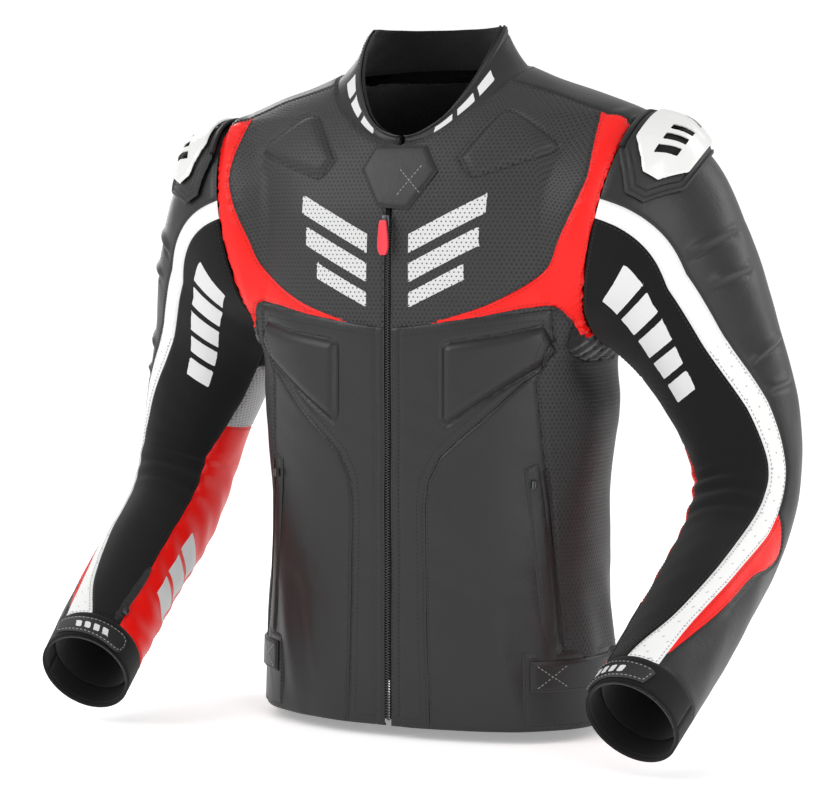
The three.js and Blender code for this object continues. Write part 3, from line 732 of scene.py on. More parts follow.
def torsoRelief(table):
    x, y, z = table[:, :3].T
    wide, front = np.abs(x), y < 0
    relief = softFolds(table[:, :3], torso["foldHeight"])
    relief += np.where(front, raisedPad(collarPad, x, z, torso["padHeight"] * 0.7), 0)
    relief += np.where(front, raisedPad(sidePad, x, z, torso["padHeight"]), 0)
    bust = (seamValues(x, y, z)["gusset"] < 0) & (wide > 150)
    climb = np.where(bust, z - 0.4 * wide - 0.3 * y, z)
    ribs = torso["ribHeight"] * (np.abs(np.sin(math.pi * climb / torso["ribPitch"])) ** 0.6 - 0.6)
    ribs = np.where(bust, ribs * 1.4, ribs)
    stretch = ~front & (z > seams["backLow"]) & (z < seams["backHigh"]) & (wide < seams["stretchHalf"])
    relief += np.where(bust | stretch, ribs, 0)
    placket = front & (z < chestLine[0, 1])
    relief += np.where(placket, -0.9 * np.exp(-(((wide - seams["placketHalf"]) / 1.3) ** 2)), 0)
    waist = 1.6 * np.exp(-(((z - 75) / 60) ** 2)) * np.sin(table[:, 5] * 22 + z / 30)
    return relief + waist * smoothStep(60, 120, wide)


# Rounds a panel down into the seams at its edges.
def seamDip(distance, depth=1.5, width=4.5):
    return depth * (np.sqrt(np.clip(1 - (1 - np.clip(distance / width, 0, 1)) ** 2, 0, 1)) - 1)


# Faces of a closed shell: a sheet, its copy count points further on, and a rim between them.
def shellFaces(faces, count):
    a, b = openEdges(faces).T
    rims = [np.stack([b, a, a + count], 1), np.stack([b, a + count, b + count], 1)]
    return np.vstack([faces, faces[:, ::-1] + count, *rims])


# Gives a sheet its thickness and makes it an object.
def thickObject(name, points, normals, faces, material, uv, wall=leatherWall):
    solid = shellFaces(faces, len(points))
    shell = np.vstack([points, points - normals * wall])
    made = makeObject(name, shell, solid, material, np.vstack([uv, uv]))
    if len(openEdges(faces)):
        made.data.normals_split_custom_set_from_vertices(np.vstack([normals, -normals]).tolist())
    return made


# The flat piece that a sheet is cut from: the smallest rectangle round it, laid flat, and its area.
def declareSheet(made, table, faces, restsOn):
    a, b, c = (table[faces[:, i], :3] / 1000 for i in range(3))
    area = np.linalg.norm(np.cross(b - a, c - a), axis=1).sum() / 2
    boxes = []
    for turn in np.radians(np.arange(0, 90, 5)):
        axes = np.array([[math.cos(turn), math.sin(turn)], [-math.sin(turn), math.cos(turn)]])
        boxes.append(np.ptp(table[:, 3:5] @ axes.T, axis=0))
    size = min(boxes, key=np.prod)
    size = size * max(1, math.sqrt(area / np.prod(size)))
    size = size * min(1, math.sqrt(area / 0.302 / np.prod(size)))
    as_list(restsOn)


panelStyle = {
    "yoke": (redLeather, "leather_red", "redThread"),
    "yokeRear": (redLeather, "leather_red", "redThread"),
    "shoulder": (blackLeather, "leather_black", "blackThread"),
    "chest": (punchedLeather, "leather_perforated", "blackThread"),
    "gusset": (ribbedKnit, "stretch_fabric", "blackThread"),
    "side": (sideLeather, "leather_perforated", "blackThread"),
    "front": (blackLeather, "leather_black", "blackThread"),
    "flank": (blackLeather, "leather_black", "blackThread"),
    "backUpper": (punchedLeather, "leather_perforated", "blackThread"),
    "backStretch": (stretchKnit, "stretch_fabric", "blackThread"),
    "backLower": (blackLeather, "leather_black", "blackThread"),
}
panelStands = {
    "yoke": "red_yoke",
    "shoulder": "shoulder_panel",
    "chest": "chest_panel",
    "side": "side_panel",
    "front": "front_panel",
    "backUpper": "back_panel_upper",
    "backStretch": "back_stretch_panel",
    "backLower": "back_panel_lower",
}


def cutTorso():
    table, faces = torsoTable()
    sheet = {"table": table, "faces": faces}
    outsideSleeve = lambda p: np.maximum(-armholeDistance(p) - 0.9, outlineDistance(opening, *planePlace(p)))
    inNeck = lambda p: 80 * (1 - np.hypot(p[:, 0] / 100, (p[:, 1] + 16) / 78))
    inZip = lambda p: np.where(p[:, 1] < 0, torso["zipHalf"] - np.abs(p[:, 0]), -9)
    for removed in (lambda p: -outsideSleeve(p), inNeck, inZip):
        splitSheet(sheet, removed(sheet["table"][:, :3]))
        sheet = keepFaces(sheet, removed(faceMiddles(sheet)[:, :3]) < 0)
    for outline in (collarPad, sidePad):
        for inset in (-3.2, -1.2, 0, 2.2):
            x, y, z = sheet["table"][:, :3].T
            splitSheet(sheet, np.where(y < 0, outlineDistance(outline, np.abs(x), z) - inset, 9))
    normals = vertexNormals(sheet["table"][:, :3], sheet["faces"])
    sheet["table"][:, :3] += normals * torsoRelief(sheet["table"])[:, None]
    for seam in ("yoke", "shoulder", "chest", "gusset", "curve", "side", "backUpper", "backStretch"):
        splitSheet(sheet, seamValues(*sheet["table"][:, :3].T)[seam])
    return sheet


# Dips a panel at its seams, gives it thickness and sews a row of stitches at each distance in rows.
def finishPanel(name, panel, style, group, rows=(2.6,), skip=None, wall=leatherWall):
    material, slot, thread = style
    table, faces = panel["table"], panel["faces"]
    skipped = skip(table) if skip else None
    distance = edgeDistance(table[:, :3], faces, skipped)
    normals = vertexNormals(table[:, :3], faces)
    table[:, :3] += normals * seamDip(distance)[:, None]
    normals = vertexNormals(table[:, :3], faces)
    made = thickObject(name, table[:, :3], normals, faces, material, table[:, 3:5], wall)
    for inset in rows:
        for line in contourLines(table[:, :3], normals, faces, distance - inset):
            sewLine(line, (group, thread))
    return made


chestPanels = {}
torsoSheet = cutTorso()
middles = faceMiddles(torsoSheet)
names = panelNames(*middles[:, :3].T)
for name in sorted(set(names)):
    base, _, hand = name.partition("_")
    panel = keepFaces(torsoSheet, names == name)
    if base.startswith("back"):
        panel["table"][:, 3] = panel["table"][:, 7]
    if base == "shoulder":
        panel["table"][:, 3:5] = panel["table"][:, :2] / 1000
    rows = (2.6, 8.5) if base in ("front", "backLower") else (2.6,)
    title = name if base == "gusset" else f"{name}_leather"
    made = finishPanel(title, panel, panelStyle[base], "torso", rows=rows)
    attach(made, "torso")
    if base == "chest":
        chestPanels[hand] = panel
    if base in panelStands:
        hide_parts(panelStands[base] + (f"_{hand}" if hand else ""))
    declareSheet(made, panel["table"], panel["faces"], ["back_protector"])
print("body panels", len(torsoSheet["faces"]))


sleeve = {
    "step": 3.0,
    "upperStep": 1.9,
    "splitKnot": 3.0,
    "cuffKnot": 8.62,
    "redStart": 226,
    "foldHeight": 0.7,
    "pleatHeight": 3.0,
    "elbowFold": 1.5,
    "forearmFold": 0.7,
}
denseKnots = np.arange(0, 9.01, 0.02)


def edgeLine(pairs):
    raw = np.interp(denseKnots, *np.array(pairs, float).T)
    kernel = np.exp(-0.5 * (np.arange(-40, 41) / 13) ** 2)
    soft = np.convolve(np.pad(raw, 40, mode="edge"), kernel / kernel.sum(), "valid")
    return lambda knots: np.interp(knots, denseKnots, soft)


# Edges of the bands, as (knot along the sleeve, degrees).
stripeFront = [(1, 82), (2, 85), (3, 76), (4, 60), (5, 46), (6, 48), (7, 60), (8, 78), (8.4, 96), (8.7, 112)]
stripeFront = edgeLine(stripeFront)
stripeBack = edgeLine([(1, 73), (2, 71), (3, 59), (4, 38), (5, 24), (6, 22), (7, 40), (8, 58), (8.7, 64)])
underSeam = edgeLine([(4, 262), (5, 240), (9, 222)])
innerSeam = edgeLine([(4, 158), (5, 146), (9, 142)])
bands = {
    "stripe": (stripeBack, stripeFront),
    "front": (stripeFront, innerSeam),
    "inner": (innerSeam, underSeam),
    "outer": (lambda knots: underSeam(knots) - 360, stripeBack),
}
redWedge = smoothLine([(24, 316), (8, 326), (-9, 349), (4, 378), (19, 404), (36, 470), (60, 538)])
redWedge += [(90, 538), (90, 316)]
# Each pleat runs between two places, as (degrees, length along the sleeve).
pleats = [((70, 44), (14, 60)), ((62, 76), (14, 88)), ((48, 163), (-8, 152)), ((40, 192), (-2, 190))]
lengthAt = lambda knots: np.interp(knots, np.arange(10), knotLengths)


# How far a place lies below a pleat, and how much of the pleat's height is left there.
def pleatPlace(pleat, degrees, length):
    (d0, s0), (d1, s1) = pleat
    share = np.clip((degrees - d0) / (d1 - d0), 0, 1)
    reach = smoothStep(0, 12, degrees - min(d0, d1)) * smoothStep(0, 12, max(d0, d1) - degrees)
    return length - (s0 + (s1 - s0) * share), reach


def sleeveRelief(degrees, knots):
    length = lengthAt(knots)
    turn = np.radians(degrees)
    relief = sleeve["foldHeight"] * (
        np.sin(length / 31 + 2.2 * np.sin(turn * 2)) * np.sin(turn * 3 + length / 47)
        + 0.3 * np.sin(length / 9 + 3 * np.cos(turn)) * np.sin(turn * 5 - length / 21)
    )
    for pleat in pleats:
        across, reach = pleatPlace(pleat, degrees, length)
        ridge = np.exp(-((across / 3.4) ** 2)) - 0.8 * np.exp(-(((across - 5.8) / 2.2) ** 2))
        relief += sleeve["pleatHeight"] * reach * ridge
    inside = np.exp(-(((degrees - 110) / 55) ** 2)) * np.exp(-(((length - 305) / 42) ** 2))
    relief += sleeve["elbowFold"] * inside * np.sin(length / 4.6 + 1.5 * np.sin(turn * 2))
    palm = smoothStep(138, 150, degrees) * smoothStep(235, 218, degrees) * smoothStep(225, 300, length)
    relief += sleeve["forearmFold"] * palm * np.sin(length / 5.2 + 1.8 * np.sin(turn * 3 + length / 60))
    return relief * smoothStep(0, 30, length) * smoothStep(560, 535, length)


def sleeveSurface(side, degrees, knots, raised=0.0):
    return sleevePoints(side, degrees, knots, sleeveRelief(degrees, knots) + raised)


def sleeveNormals(side, degrees, knots):
    around = sleeveSurface(1, degrees + 0.5, knots) - sleeveSurface(1, degrees - 0.5, knots)
    along = sleeveSurface(1, degrees, knots + 0.01) - sleeveSurface(1, degrees, knots - 0.01)
    normals = np.cross(along, around)
    middle, _ = catmullRom(sleeveLine, knots)
    normals *= np.sign(((sleeveSurface(1, degrees, knots) - middle) * normals).sum(-1, keepdims=True))
    return normals / np.linalg.norm(normals, axis=-1, keepdims=True) * [side, 1, 1]


def bandSheet(side, band, lower):
    start, end = (sleeve["splitKnot"], sleeve["cuffKnot"]) if lower else (0.9, sleeve["splitKnot"])
    first, last = bands[band]
    step = sleeve["step"] if lower else sleeve["upperStep"]
    rows = int((lengthAt(end) - lengthAt(start)) / step) + 2
    middle = (start + end) / 2
    radius = catmullRom(sleeveRadii, np.array(middle))[0].mean()
    wide = math.radians(float(last(middle) - first(middle))) * radius
    columns = int(wide / step) + 2
    share, v = np.meshgrid(np.linspace(0, 1, columns), np.linspace(0, 1, rows))
    knots = start + (end - start) * v
    for _ in range(3):
        degrees = first(knots) * (1 - share) + last(knots) * share
        if not lower:
            knots = np.interp(degrees, planeTurns, planeKnots) * (1 - v) + end * v
    points = sleeveSurface(side, degrees, knots)
    steps = np.linalg.norm(np.diff(points, axis=1), axis=-1)
    across = np.concatenate([np.zeros((rows, 1)), np.cumsum(steps, 1)], 1)
    across -= across[:, -1:] / 2
    climb = np.zeros(points.shape[:2])
    climb[1:] = np.cumsum(np.linalg.norm(np.diff(points, axis=0), axis=-1), 0)
    table = np.dstack([points, across / 1000, climb / 1000, degrees, lengthAt(knots)]).reshape(-1, 7)
    sheet = {"table": table, "faces": gridFaces(rows, columns)}
    table, faces = sheet["table"], sheet["faces"]
    inward = ((vertexNormals(table[:, :3], faces) * sleeveNormals(side, *knotsOf(table))).sum(1)).mean() < 0
    return {"table": table, "faces": faces[:, ::-1] if inward else faces}


def knotsOf(table):
    return table[:, 5], np.interp(table[:, 6], knotLengths, np.arange(10))


bandStyle = {
    "stripe": (whiteLeather, "leather_white", "whiteThread"),
    "ventedStripe": (ventedWhite, "leather_white", "greyThread"),
    "front": (stretchKnit, "stretch_fabric", "blackThread"),
    "outer": (blackLeather, "leather_black", "blackThread"),
    "wedge": (redLeather, "leather_red", "redThread"),
    "innerBlack": (stretchKnit, "stretch_fabric", "blackThread"),
    "innerGrey": (greyLeather, "leather_perforated", "greyThread"),
    "innerRed": (redLeather, "leather_red", "redThread"),
}
sleeveBars = {"start": 18, "pitch": 31, "length": 23, "slant": 8, "from": 96, "to": 119, "count": 5}
forearmBars = {"start": 392, "pitch": 34, "length": 26, "slant": 9, "from": 166, "to": 206, "count": 3}
blendGroups = {}
for hand, side in bothSides:
    mirror = np.array([side, 1, 1])
    blendGroups[f"head_{hand}"] = (
        "torso",
        f"upper_sleeve_{hand}",
        armholeMiddle * mirror,
        (armholeMiddle + armholeNormal * 32) * mirror,
    )
    blendGroups[f"elbow_{hand}"] = (
        f"upper_sleeve_{hand}",
        f"forearm_{hand}",
        catmullRom(sleeveLine, np.array(4.6))[0] * mirror,
        catmullRom(sleeveLine, np.array(6.3))[0] * mirror,
    )


def followBlend(made, group):
    a, b, start, end = blendGroups[group]
    tuple(toFrame(start))
    tuple(toFrame(end))
    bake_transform(made)


# Moves a piece with one body; a piece listed between two bodies is only baked in place.
def follow(made, group):
    if group in blendGroups:
        followBlend(made, group)
    else:
        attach(made, group)


# A flat ink mark or patch lifted off a panel inside the outlines given in the panel's own plane.
def inkPatch(name, panel, outlines, columns, material, group, lift=0.25):
    sheet = {"table": panel["table"].copy(), "faces": panel["faces"]}
    place = lambda table: [table[:, c] for c in columns]
    shape = lambda table: np.minimum.reduce([outlineDistance(o, *place(table)) for o in outlines])
    splitSheet(sheet, shape(sheet["table"]))
    sheet = keepFaces(sheet, shape(faceMiddles(sheet)) < 0)
    normals = vertexNormals(sheet["table"][:, :3], sheet["faces"])
    points = sheet["table"][:, :3] + normals * lift
    made = thickObject(name, points, normals, sheet["faces"], material, sheet["table"][:, 3:5], lift + 0.15)
    follow(made, group)
    return made


def slantedBars(bars):
    outlines = []
    for i in range(bars["count"]):
        s = bars["start"] + i * bars["pitch"]
        outlines.append(
            [
                (bars["from"], s),
                (bars["to"], s + bars["slant"]),
                (bars["to"], s + bars["slant"] + bars["length"]),
                (bars["from"], s + bars["length"]),
            ]
        )
    return outlines


def finishBand(name, sheet, style, group, side, replaced=(), rows=(2.6,)):
    splitLength = lengthAt(sleeve["splitKnot"])
    skip = lambda table: np.abs(table[:, 6] - splitLength) < 0.8
    table = sheet["table"]
    if style.startswith("inner"):
        skip = None
    made = finishPanel(name, sheet, bandStyle[style], group, rows=rows, skip=skip)
    if skip is not None:
        fixed = skip(table)
        plain = vertexNormals(table[:, :3], sheet["faces"])
        plain[fixed] = sleeveNormals(side, *knotsOf(table))[fixed]
        made.data.normals_split_custom_set_from_vertices(np.vstack([plain, -plain]).tolist())
    declareSheet(made, table, sheet["faces"], [])
    followBlend(made, group)
    if replaced:
        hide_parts(*replaced)
    return sheet


for hand, side in bothSides:
    head, elbow = f"head_{hand}", f"elbow_{hand}"
    for band in bands:
        style = "innerBlack" if band == "inner" else band
        made = finishBand(f"{band}_upper_{hand}", bandSheet(side, band, False), style, head, side)
        if band == "front":
            inkPatch(f"sleeve_bars_upper_{hand}", made, slantedBars(sleeveBars), (5, 6), greyInk, head)
    stands = lambda *nodes: [f"{node}_{hand}" for node in nodes]
    finishBand(
        f"stripe_lower_{hand}",
        bandSheet(side, "stripe", True),
        "ventedStripe",
        elbow,
        side,
        stands("sleeve_stripe", "forearm_stripe"),
    )
    front = finishBand(
        f"front_lower_{hand}",
        bandSheet(side, "front", True),
        "front",
        elbow,
        side,
        stands("sleeve_stretch", "forearm_stretch", "elbow_gusset"),
    )
    inkPatch(f"sleeve_bars_lower_{hand}", front, slantedBars(sleeveBars), (5, 6), greyInk, elbow)
    inner = bandSheet(side, "inner", True)
    splitSheet(inner, inner["table"][:, 6] - sleeve["redStart"])
    low = faceMiddles(inner)[:, 6] > sleeve["redStart"]
    finishBand(f"inner_grey_{hand}", keepFaces(inner, ~low), "innerGrey", elbow, side)
    innerRed = keepFaces(inner, low)
    red = finishBand(f"inner_red_{hand}", innerRed, "innerRed", elbow, side, stands("forearm_inner"))
    inkPatch(f"forearm_bars_{hand}", red, slantedBars(forearmBars), (5, 6), greyInk, elbow)
    outer = bandSheet(side, "outer", True)
    wedgeDistance = lambda table: outlineDistance(redWedge, table[:, 5], table[:, 6])
    splitSheet(outer, wedgeDistance(outer["table"]))
    inWedge = wedgeDistance(faceMiddles(outer)) < 0
    finishBand(f"wedge_{hand}", keepFaces(outer, inWedge), "wedge", elbow, side)
    finishBand(
        f"outer_lower_{hand}",
        keepFaces(outer, ~inWedge),
        "outer",
        elbow,
        side,
        stands("sleeve_outer", "forearm_outer"),
    )
print("sleeves")


# A sheet over a grid of (u, v) from 0 to 1; place(u, v) gives points and a pair of outline coordinates.
def patchSheet(place, columns, rows, size):
    u, v = np.meshgrid(np.linspace(0, 1, columns), np.linspace(0, 1, rows))
    points, a, b = place(u, v)
    table = np.dstack([points, (u - 0.5) * size[0] / 1000, v * size[1] / 1000, a, b]).reshape(-1, 7)
    return {"table": table, "faces": gridFaces(rows, columns)}


def faceOutwards(sheet, centre):
    normals = vertexNormals(sheet["table"][:, :3], sheet["faces"])
    if ((sheet["table"][:, :3] - centre) * normals).sum(1).mean() < 0:
        sheet["faces"] = sheet["faces"][:, ::-1]
    return sheet


def cutOutline(sheet, outline, inside=True):
    shape = lambda table: outlineDistance(outline, table[:, 5], table[:, 6]) * (1 if inside else -1)
    splitSheet(sheet, shape(sheet["table"]))
    return keepFaces(sheet, shape(faceMiddles(sheet)) < 0)


# A body patch between two turns (degrees) and heights, with outline coordinates (x, z).
def bodyPatch(turns, levels, raised, outline=None, step=2.5):
    low, high = (math.radians(t) for t in turns)
    middle = float(bodyRadius(np.array((low + high) / 2), np.array(sum(levels) / 2)))
    size = (abs(high - low) * middle, levels[1] - levels[0])

    def place(u, v):
        z = levels[0] + (levels[1] - levels[0]) * v
        points = bodyPoints(low + (high - low) * u, z, raised)
        return points, points[..., 0], z

    sheet = patchSheet(place, int(size[0] / step) + 2, int(size[1] / step) + 2, size)
    faceOutwards(sheet, np.array([0, 0, sum(levels) / 2]))
    return cutOutline(sheet, outline) if outline else sheet


# A sleeve patch between two directions and two lengths, with outline coordinates (degrees, length).
def sleevePatch(side, degrees, lengths, raised, outline=None, step=2.2):
    knots = np.interp(lengths, knotLengths, np.arange(10))
    middle, radii = catmullRom(sleeveLine, knots.mean())[0], catmullRom(sleeveRadii, knots.mean())[0]
    size = (math.radians(abs(degrees[1] - degrees[0])) * radii.mean(), lengths[1] - lengths[0])

    def place(u, v):
        turn = degrees[0] + (degrees[1] - degrees[0]) * u
        length = lengths[0] + (lengths[1] - lengths[0]) * v
        at = np.interp(length, knotLengths, np.arange(10))
        return sleeveSurface(side, turn, at, raised), turn, length

    sheet = patchSheet(place, int(size[0] / step) + 2, int(size[1] / step) + 2, size)
    faceOutwards(sheet, middle * [side, 1, 1])
    return cutOutline(sheet, outline) if outline else sheet


def sewnPatch(name, sheet, style, group, wall=2.0, replaced=(), rows=(2.2,), sheetRests=None):
    made = finishPanel(name, sheet, style, group, rows=rows, wall=wall)
    if sheetRests is not None:
        declareSheet(made, sheet["table"], sheet["faces"], sheetRests)
    follow(made, group)
    if replaced:
        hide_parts(*replaced)
    return made


# Two crossing seams over a patch, from corner to corner in its own grid.
def sewCross(place, group, thread="greyThread"):
    t = np.linspace(0.08, 0.92, 24)
    for v in (t, 1 - t):
        points, normals = place(t, v)
        sewLine(np.hstack([points, normals]), (group, thread))


# A padded slab between two offsets of place(u, v, raised), thinned to a rounded edge.
def padObject(name, place, columns, rows, top, bottom, body, node, ridges=5):
    u, v = np.meshgrid(np.linspace(0, 1, columns), np.linspace(0, 1, rows))
    edge = np.minimum.reduce([u, 1 - u, v, 1 - v])
    swell = np.sqrt(1 - (1 - np.clip(edge / 0.12, 0, 1)) ** 2)
    cells = 0.6 * (np.sin(math.pi * ridges * u) ** 2) * (np.sin(math.pi * ridges * 2 * v) ** 2)
    middle, half = (top + bottom) / 2, (top - bottom) / 2
    outer = place(u, v, middle + half * (0.25 + 0.75 * swell) - cells * swell).reshape(-1, 3)
    inner = place(u, v, middle - half * (0.25 + 0.75 * swell)).reshape(-1, 3)
    solid = shellFaces(gridFaces(rows, columns), len(outer))
    points = np.vstack([outer, inner])
    a, b, c = (points[solid[:, i]] for i in range(3))
    if (a * np.cross(b, c)).sum() < 0:  # the volume, when the faces look outwards
        solid = solid[:, ::-1]
    made = makeObject(name, points, solid, armourFoam)
    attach(made, body)
    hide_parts(node)
    return made


# The points and faces, in millimetres, of a primitive shaped in edit mode, then removed.
def shapedPrimitive(size, bevel, segments=2):
    bpy.ops.mesh.primitive_cube_add(size=1)
    shape = bpy.context.object
    bpy.ops.object.mode_set(mode="EDIT")
    bpy.ops.transform.resize(value=size)
    bpy.ops.mesh.bevel(offset=bevel, segments=segments, affect="EDGES")
    bpy.ops.object.mode_set(mode="OBJECT")
    points = np.array([v.co for v in shape.data.vertices])
    faces = [list(p.vertices) for p in shape.data.polygons]
    bpy.data.objects.remove(shape)
    return points, faces


# One object of a shape repeated at places, each with its own three axes.
def repeatShape(name, shape, places, axes, material, body, replaced=()):
    points, faces = shape
    placed = np.vstack([p + points @ np.array(frame) for p, frame in zip(places, axes)])
    every = [[v + i * len(points) for v in face] for i in range(len(places)) for face in faces]
    made = makeObject(name, placed, every, material)
    follow(made, body)
    if replaced:
        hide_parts(*replaced)
    return made


# Axes for shapes along a line of points: across, outwards, along.
def lineAxes(points, outwards):
    along = np.gradient(points, axis=0)
    along /= np.linalg.norm(along, axis=1, keepdims=True)
    across = np.cross(outwards, along)
    across /= np.linalg.norm(across, axis=1, keepdims=True)
    return np.stack([across, np.cross(along, across), along], 1)


# Zip teeth in two rows that mesh along a line.
def zipTeeth(name, line, outwards, body, pitch=2.6, size=(3.0, 1.5, 1.3)):
    walked = np.concatenate([[0], np.cumsum(np.linalg.norm(np.diff(line, axis=0), axis=1))])
    at = np.arange(0, walked[-1], pitch / 2)
    points = np.stack([np.interp(at, walked, line[:, i]) for i in range(3)], 1)
    normals = np.stack([np.interp(at, walked, outwards[:, i]) for i in range(3)], 1)
    axes = lineAxes(points, normals)
    offset = np.where(np.arange(len(at)) % 2, 1.0, -1.0)[:, None]
    tooth = shapedPrimitive(size, 0.35, 1)
    places = points + axes[:, 0] * offset
    return repeatShape(name, tooth, places, axes, toothPlastic, body)


frontZip = {"low": 6, "high": 488, "depth": 1.6, "tapeWall": 0.8, "tapeWidth": 13}


z = np.linspace(frontZip["low"], frontZip["high"], 60)
line = bodyPoints(turnAt(0.0, z), z, -frontZip["depth"])
zipTeeth("front_zip_teeth", line, np.tile([0.0, -1.0, 0.0], (len(z), 1)), "torso")
for hand, side in bothSides:
    wide = math.degrees(float(turnAt(frontZip["tapeWidth"], np.array(200.0))))
    strip = bodyPatch((side * 0.35, side * wide), (frontZip["low"], 500), -3.1, step=4)
    sewnPatch(
        f"front_tape_{hand}",
        strip,
        (zipTape, "stretch_fabric", "blackThread"),
        "torso",
        frontZip["tapeWall"],
        [f"zip_tape_{hand}"],
        sheetRests=["front_left_leather"],
    )


def sliderShape(name, place, axes, scale, body, node):
    base = shapedPrimitive((8 * scale, 2.6 * scale, 11 * scale), 0.9 * scale)
    bridge = shapedPrimitive((2.6 * scale, 2.0 * scale, 8 * scale), 0.6 * scale)
    points = np.vstack([base[0], bridge[0] + [0, 2.0 * scale, 0]])
    faces = base[1] + [[v + len(base[0]) for v in face] for face in bridge[1]]
    return repeatShape(name, (points, faces), [place], [axes], zipMetal, body, [node])


frontAxes = np.array([[1, 0, 0], [0, -1, 0], [0, 0, 1]])
sliderShape("zip_slider_body", np.array([0, -121.4, 486.5]), frontAxes, 1.0, "zip_slider", "zip_slider")


# The pull is a soft tapered tab with a moulded recess.
def makePull():
    bpy.ops.mesh.primitive_cube_add(size=1)
    pull = bpy.context.object
    pull.name = "zip_pull_tab"
    bpy.ops.object.mode_set(mode="EDIT")
    bpy.ops.mesh.subdivide(number_cuts=5)
    bpy.ops.transform.resize(value=(11, 3.2, 33))
    bpy.ops.object.mode_set(mode="OBJECT")
    for vertex in pull.data.vertices:
        x, y, z = vertex.co
        narrow = 0.62 + 0.38 * min(1.0, (16.5 - z) / 20)
        curve = 1 - max(0.0, (-z - 10) / 6.5) ** 2 * 0.45
        recess = 0.55 if abs(x) < 3 and -12 < z < 6 and y < 0 else 0.0
        vertex.co = (x * narrow * curve, y + recess, z)
    pull.data.transform(fkMatrix((0, -127.2, 470.5)))
    soft = pull.modifiers.new("soft edges", "SUBSURF")
    soft.levels = soft.render_levels = 2
    pull.data.materials.append(pullRubber)
    pull.data.shade_smooth()
    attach(pull, "zip_pull")
    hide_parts("zip_pull")


# Moves a shape drawn in millimetres round its own middle to a place in the frame.
def fkMatrix(place):
    matrix = Matrix.Diagonal((0.001, 0.001, 0.001, 1))
    matrix.translation = Vector(toFrame(place))
    return matrix


makePull()
garage = [(-33, 536), (-22, 560), (32, 559), (47, 534), (21, 497), (-11, 500)]
flap = bodyPatch((-24, 28), (495, 562), 3.0, garage)
sewnPatch(
    "garage_flap_leather",
    flap,
    (blackLeather, "leather_black", "blackThread"),
    "torso",
    2.2,
    ["zip_garage_flap"],
    rows=(2.2,),
    sheetRests=["chest_left_leather", "chest_right_leather"],
)


def garageCross(u, v):
    x = 6 + 26 * u
    z = 508 + 30 * v + 4 * u
    points = bodyPoints(turnAt(x, z), z, 3.2)
    return points, points * [1, 1, 0] / 119


sewCross(garageCross, "torso")


chevrons = [[(22, 474), (98, 512), (98, 494), (22, 456)], [(22, 446), (92, 481), (92, 463), (22, 428)]]
chevrons += [[(22, 418), (78, 446), (78, 431), (22, 404)]]
for hand, side in bothSides:
    panel = chestPanels[hand]
    sheet = {"table": panel["table"].copy(), "faces": panel["faces"]}
    sheet["table"][:, 7] = sheet["table"][:, 0] * side
    inkPatch(f"chest_mark_{hand}", sheet, chevrons, (7, 6), printedLeather, "torso")


collar = {
    "back": 678,
    "drop": 110,
    "wall": 3.2,
    "gap": 0.035,
    "rollHeight": 0.9,
    "sink": 4,
    "middle": np.array([0, -15, 600]),
}
plainTable, plainFaces = torsoTable(columns=160, rowStep=5)
plainTree = BVHTree.FromPolygons(plainTable[:, :3].tolist(), plainFaces.tolist())


def neckHeight(x, y):
    return plainTree.ray_cast(Vector((x, y, 800)), Vector((0, 0, -1)))[0].z


footTurns = np.linspace(0, 2 * math.pi, 181)
footHeights = np.array([neckHeight(100 * math.sin(t), -16 - 78 * math.cos(t)) for t in footTurns])


def collarPoints(u, v, raised=0.0):
    turn = collar["gap"] + (2 * math.pi - 2 * collar["gap"]) * u
    s, c = np.sin(turn), np.cos(turn)
    footHeight = np.interp(turn, footTurns, footHeights) - collar["sink"]
    foot = np.stack([(100.5 + raised) * s, -16 - (78.5 + raised) * c, footHeight], -1)
    depth = 74 * np.where(c > 0, 1, 0.8) + raised
    height = collar["back"] - collar["drop"] * np.maximum(0, (c + 0.15) / 1.15) ** 1.3
    top = np.stack([(72 + raised) * s, -14 - depth * c, height], -1)
    bow = 5 * np.sin(math.pi * v)[..., None] * np.stack([s, -c, 0 * s], -1)
    return foot + (top - foot) * v[..., None] - bow * 0.6


def collarRelief(u, v):
    turn = 2 * math.pi * u
    roll = collar["rollHeight"] * smoothStep(0.8, 0.9, v) - 0.8 * np.exp(-(((v - 0.8) / 0.02) ** 2))
    return roll + 0.5 * np.sin(turn * 9 + 3 * v) * np.sin(v * 7 + turn * 3)


collarPlace = lambda raised: lambda u, v: (collarPoints(u, v, collarRelief(u, v) + raised), u * 500, v * 100)
shell = faceOutwards(patchSheet(collarPlace(0), 190, 34, (500, 105)), collar["middle"])
sewnPatch(
    "collar_leather",
    shell,
    (blackLeather, "leather_black", "blackThread"),
    "torso",
    collar["wall"],
    ["collar_shell"],
    rows=(3.0,),
    sheetRests=[],
)
collarBars = [[(a, 36), (a + 17, 36), (a + 21, 66), (a + 4, 66)] for a in (28, 50, 72)]
collarBars += [[(500 - a, 36), (483 - a, 36), (479 - a, 66), (496 - a, 66)] for a in (28, 50, 72)]
inkPatch("collar_marks", shell, collarBars, (5, 6), greyInk, "torso")
liner = patchSheet(collarPlace(-collar["wall"] - 0.8), 120, 16, (490, 100))
faceOutwards(liner, collar["middle"])
sewnPatch(
    "collar_lining_mesh",
    liner,
    (liningMesh, "lining", "blackThread"),
    "torso",
    1.2,
    ["collar_lining"],
    sheetRests=["collar_leather"],
)
print("collar and front zip")


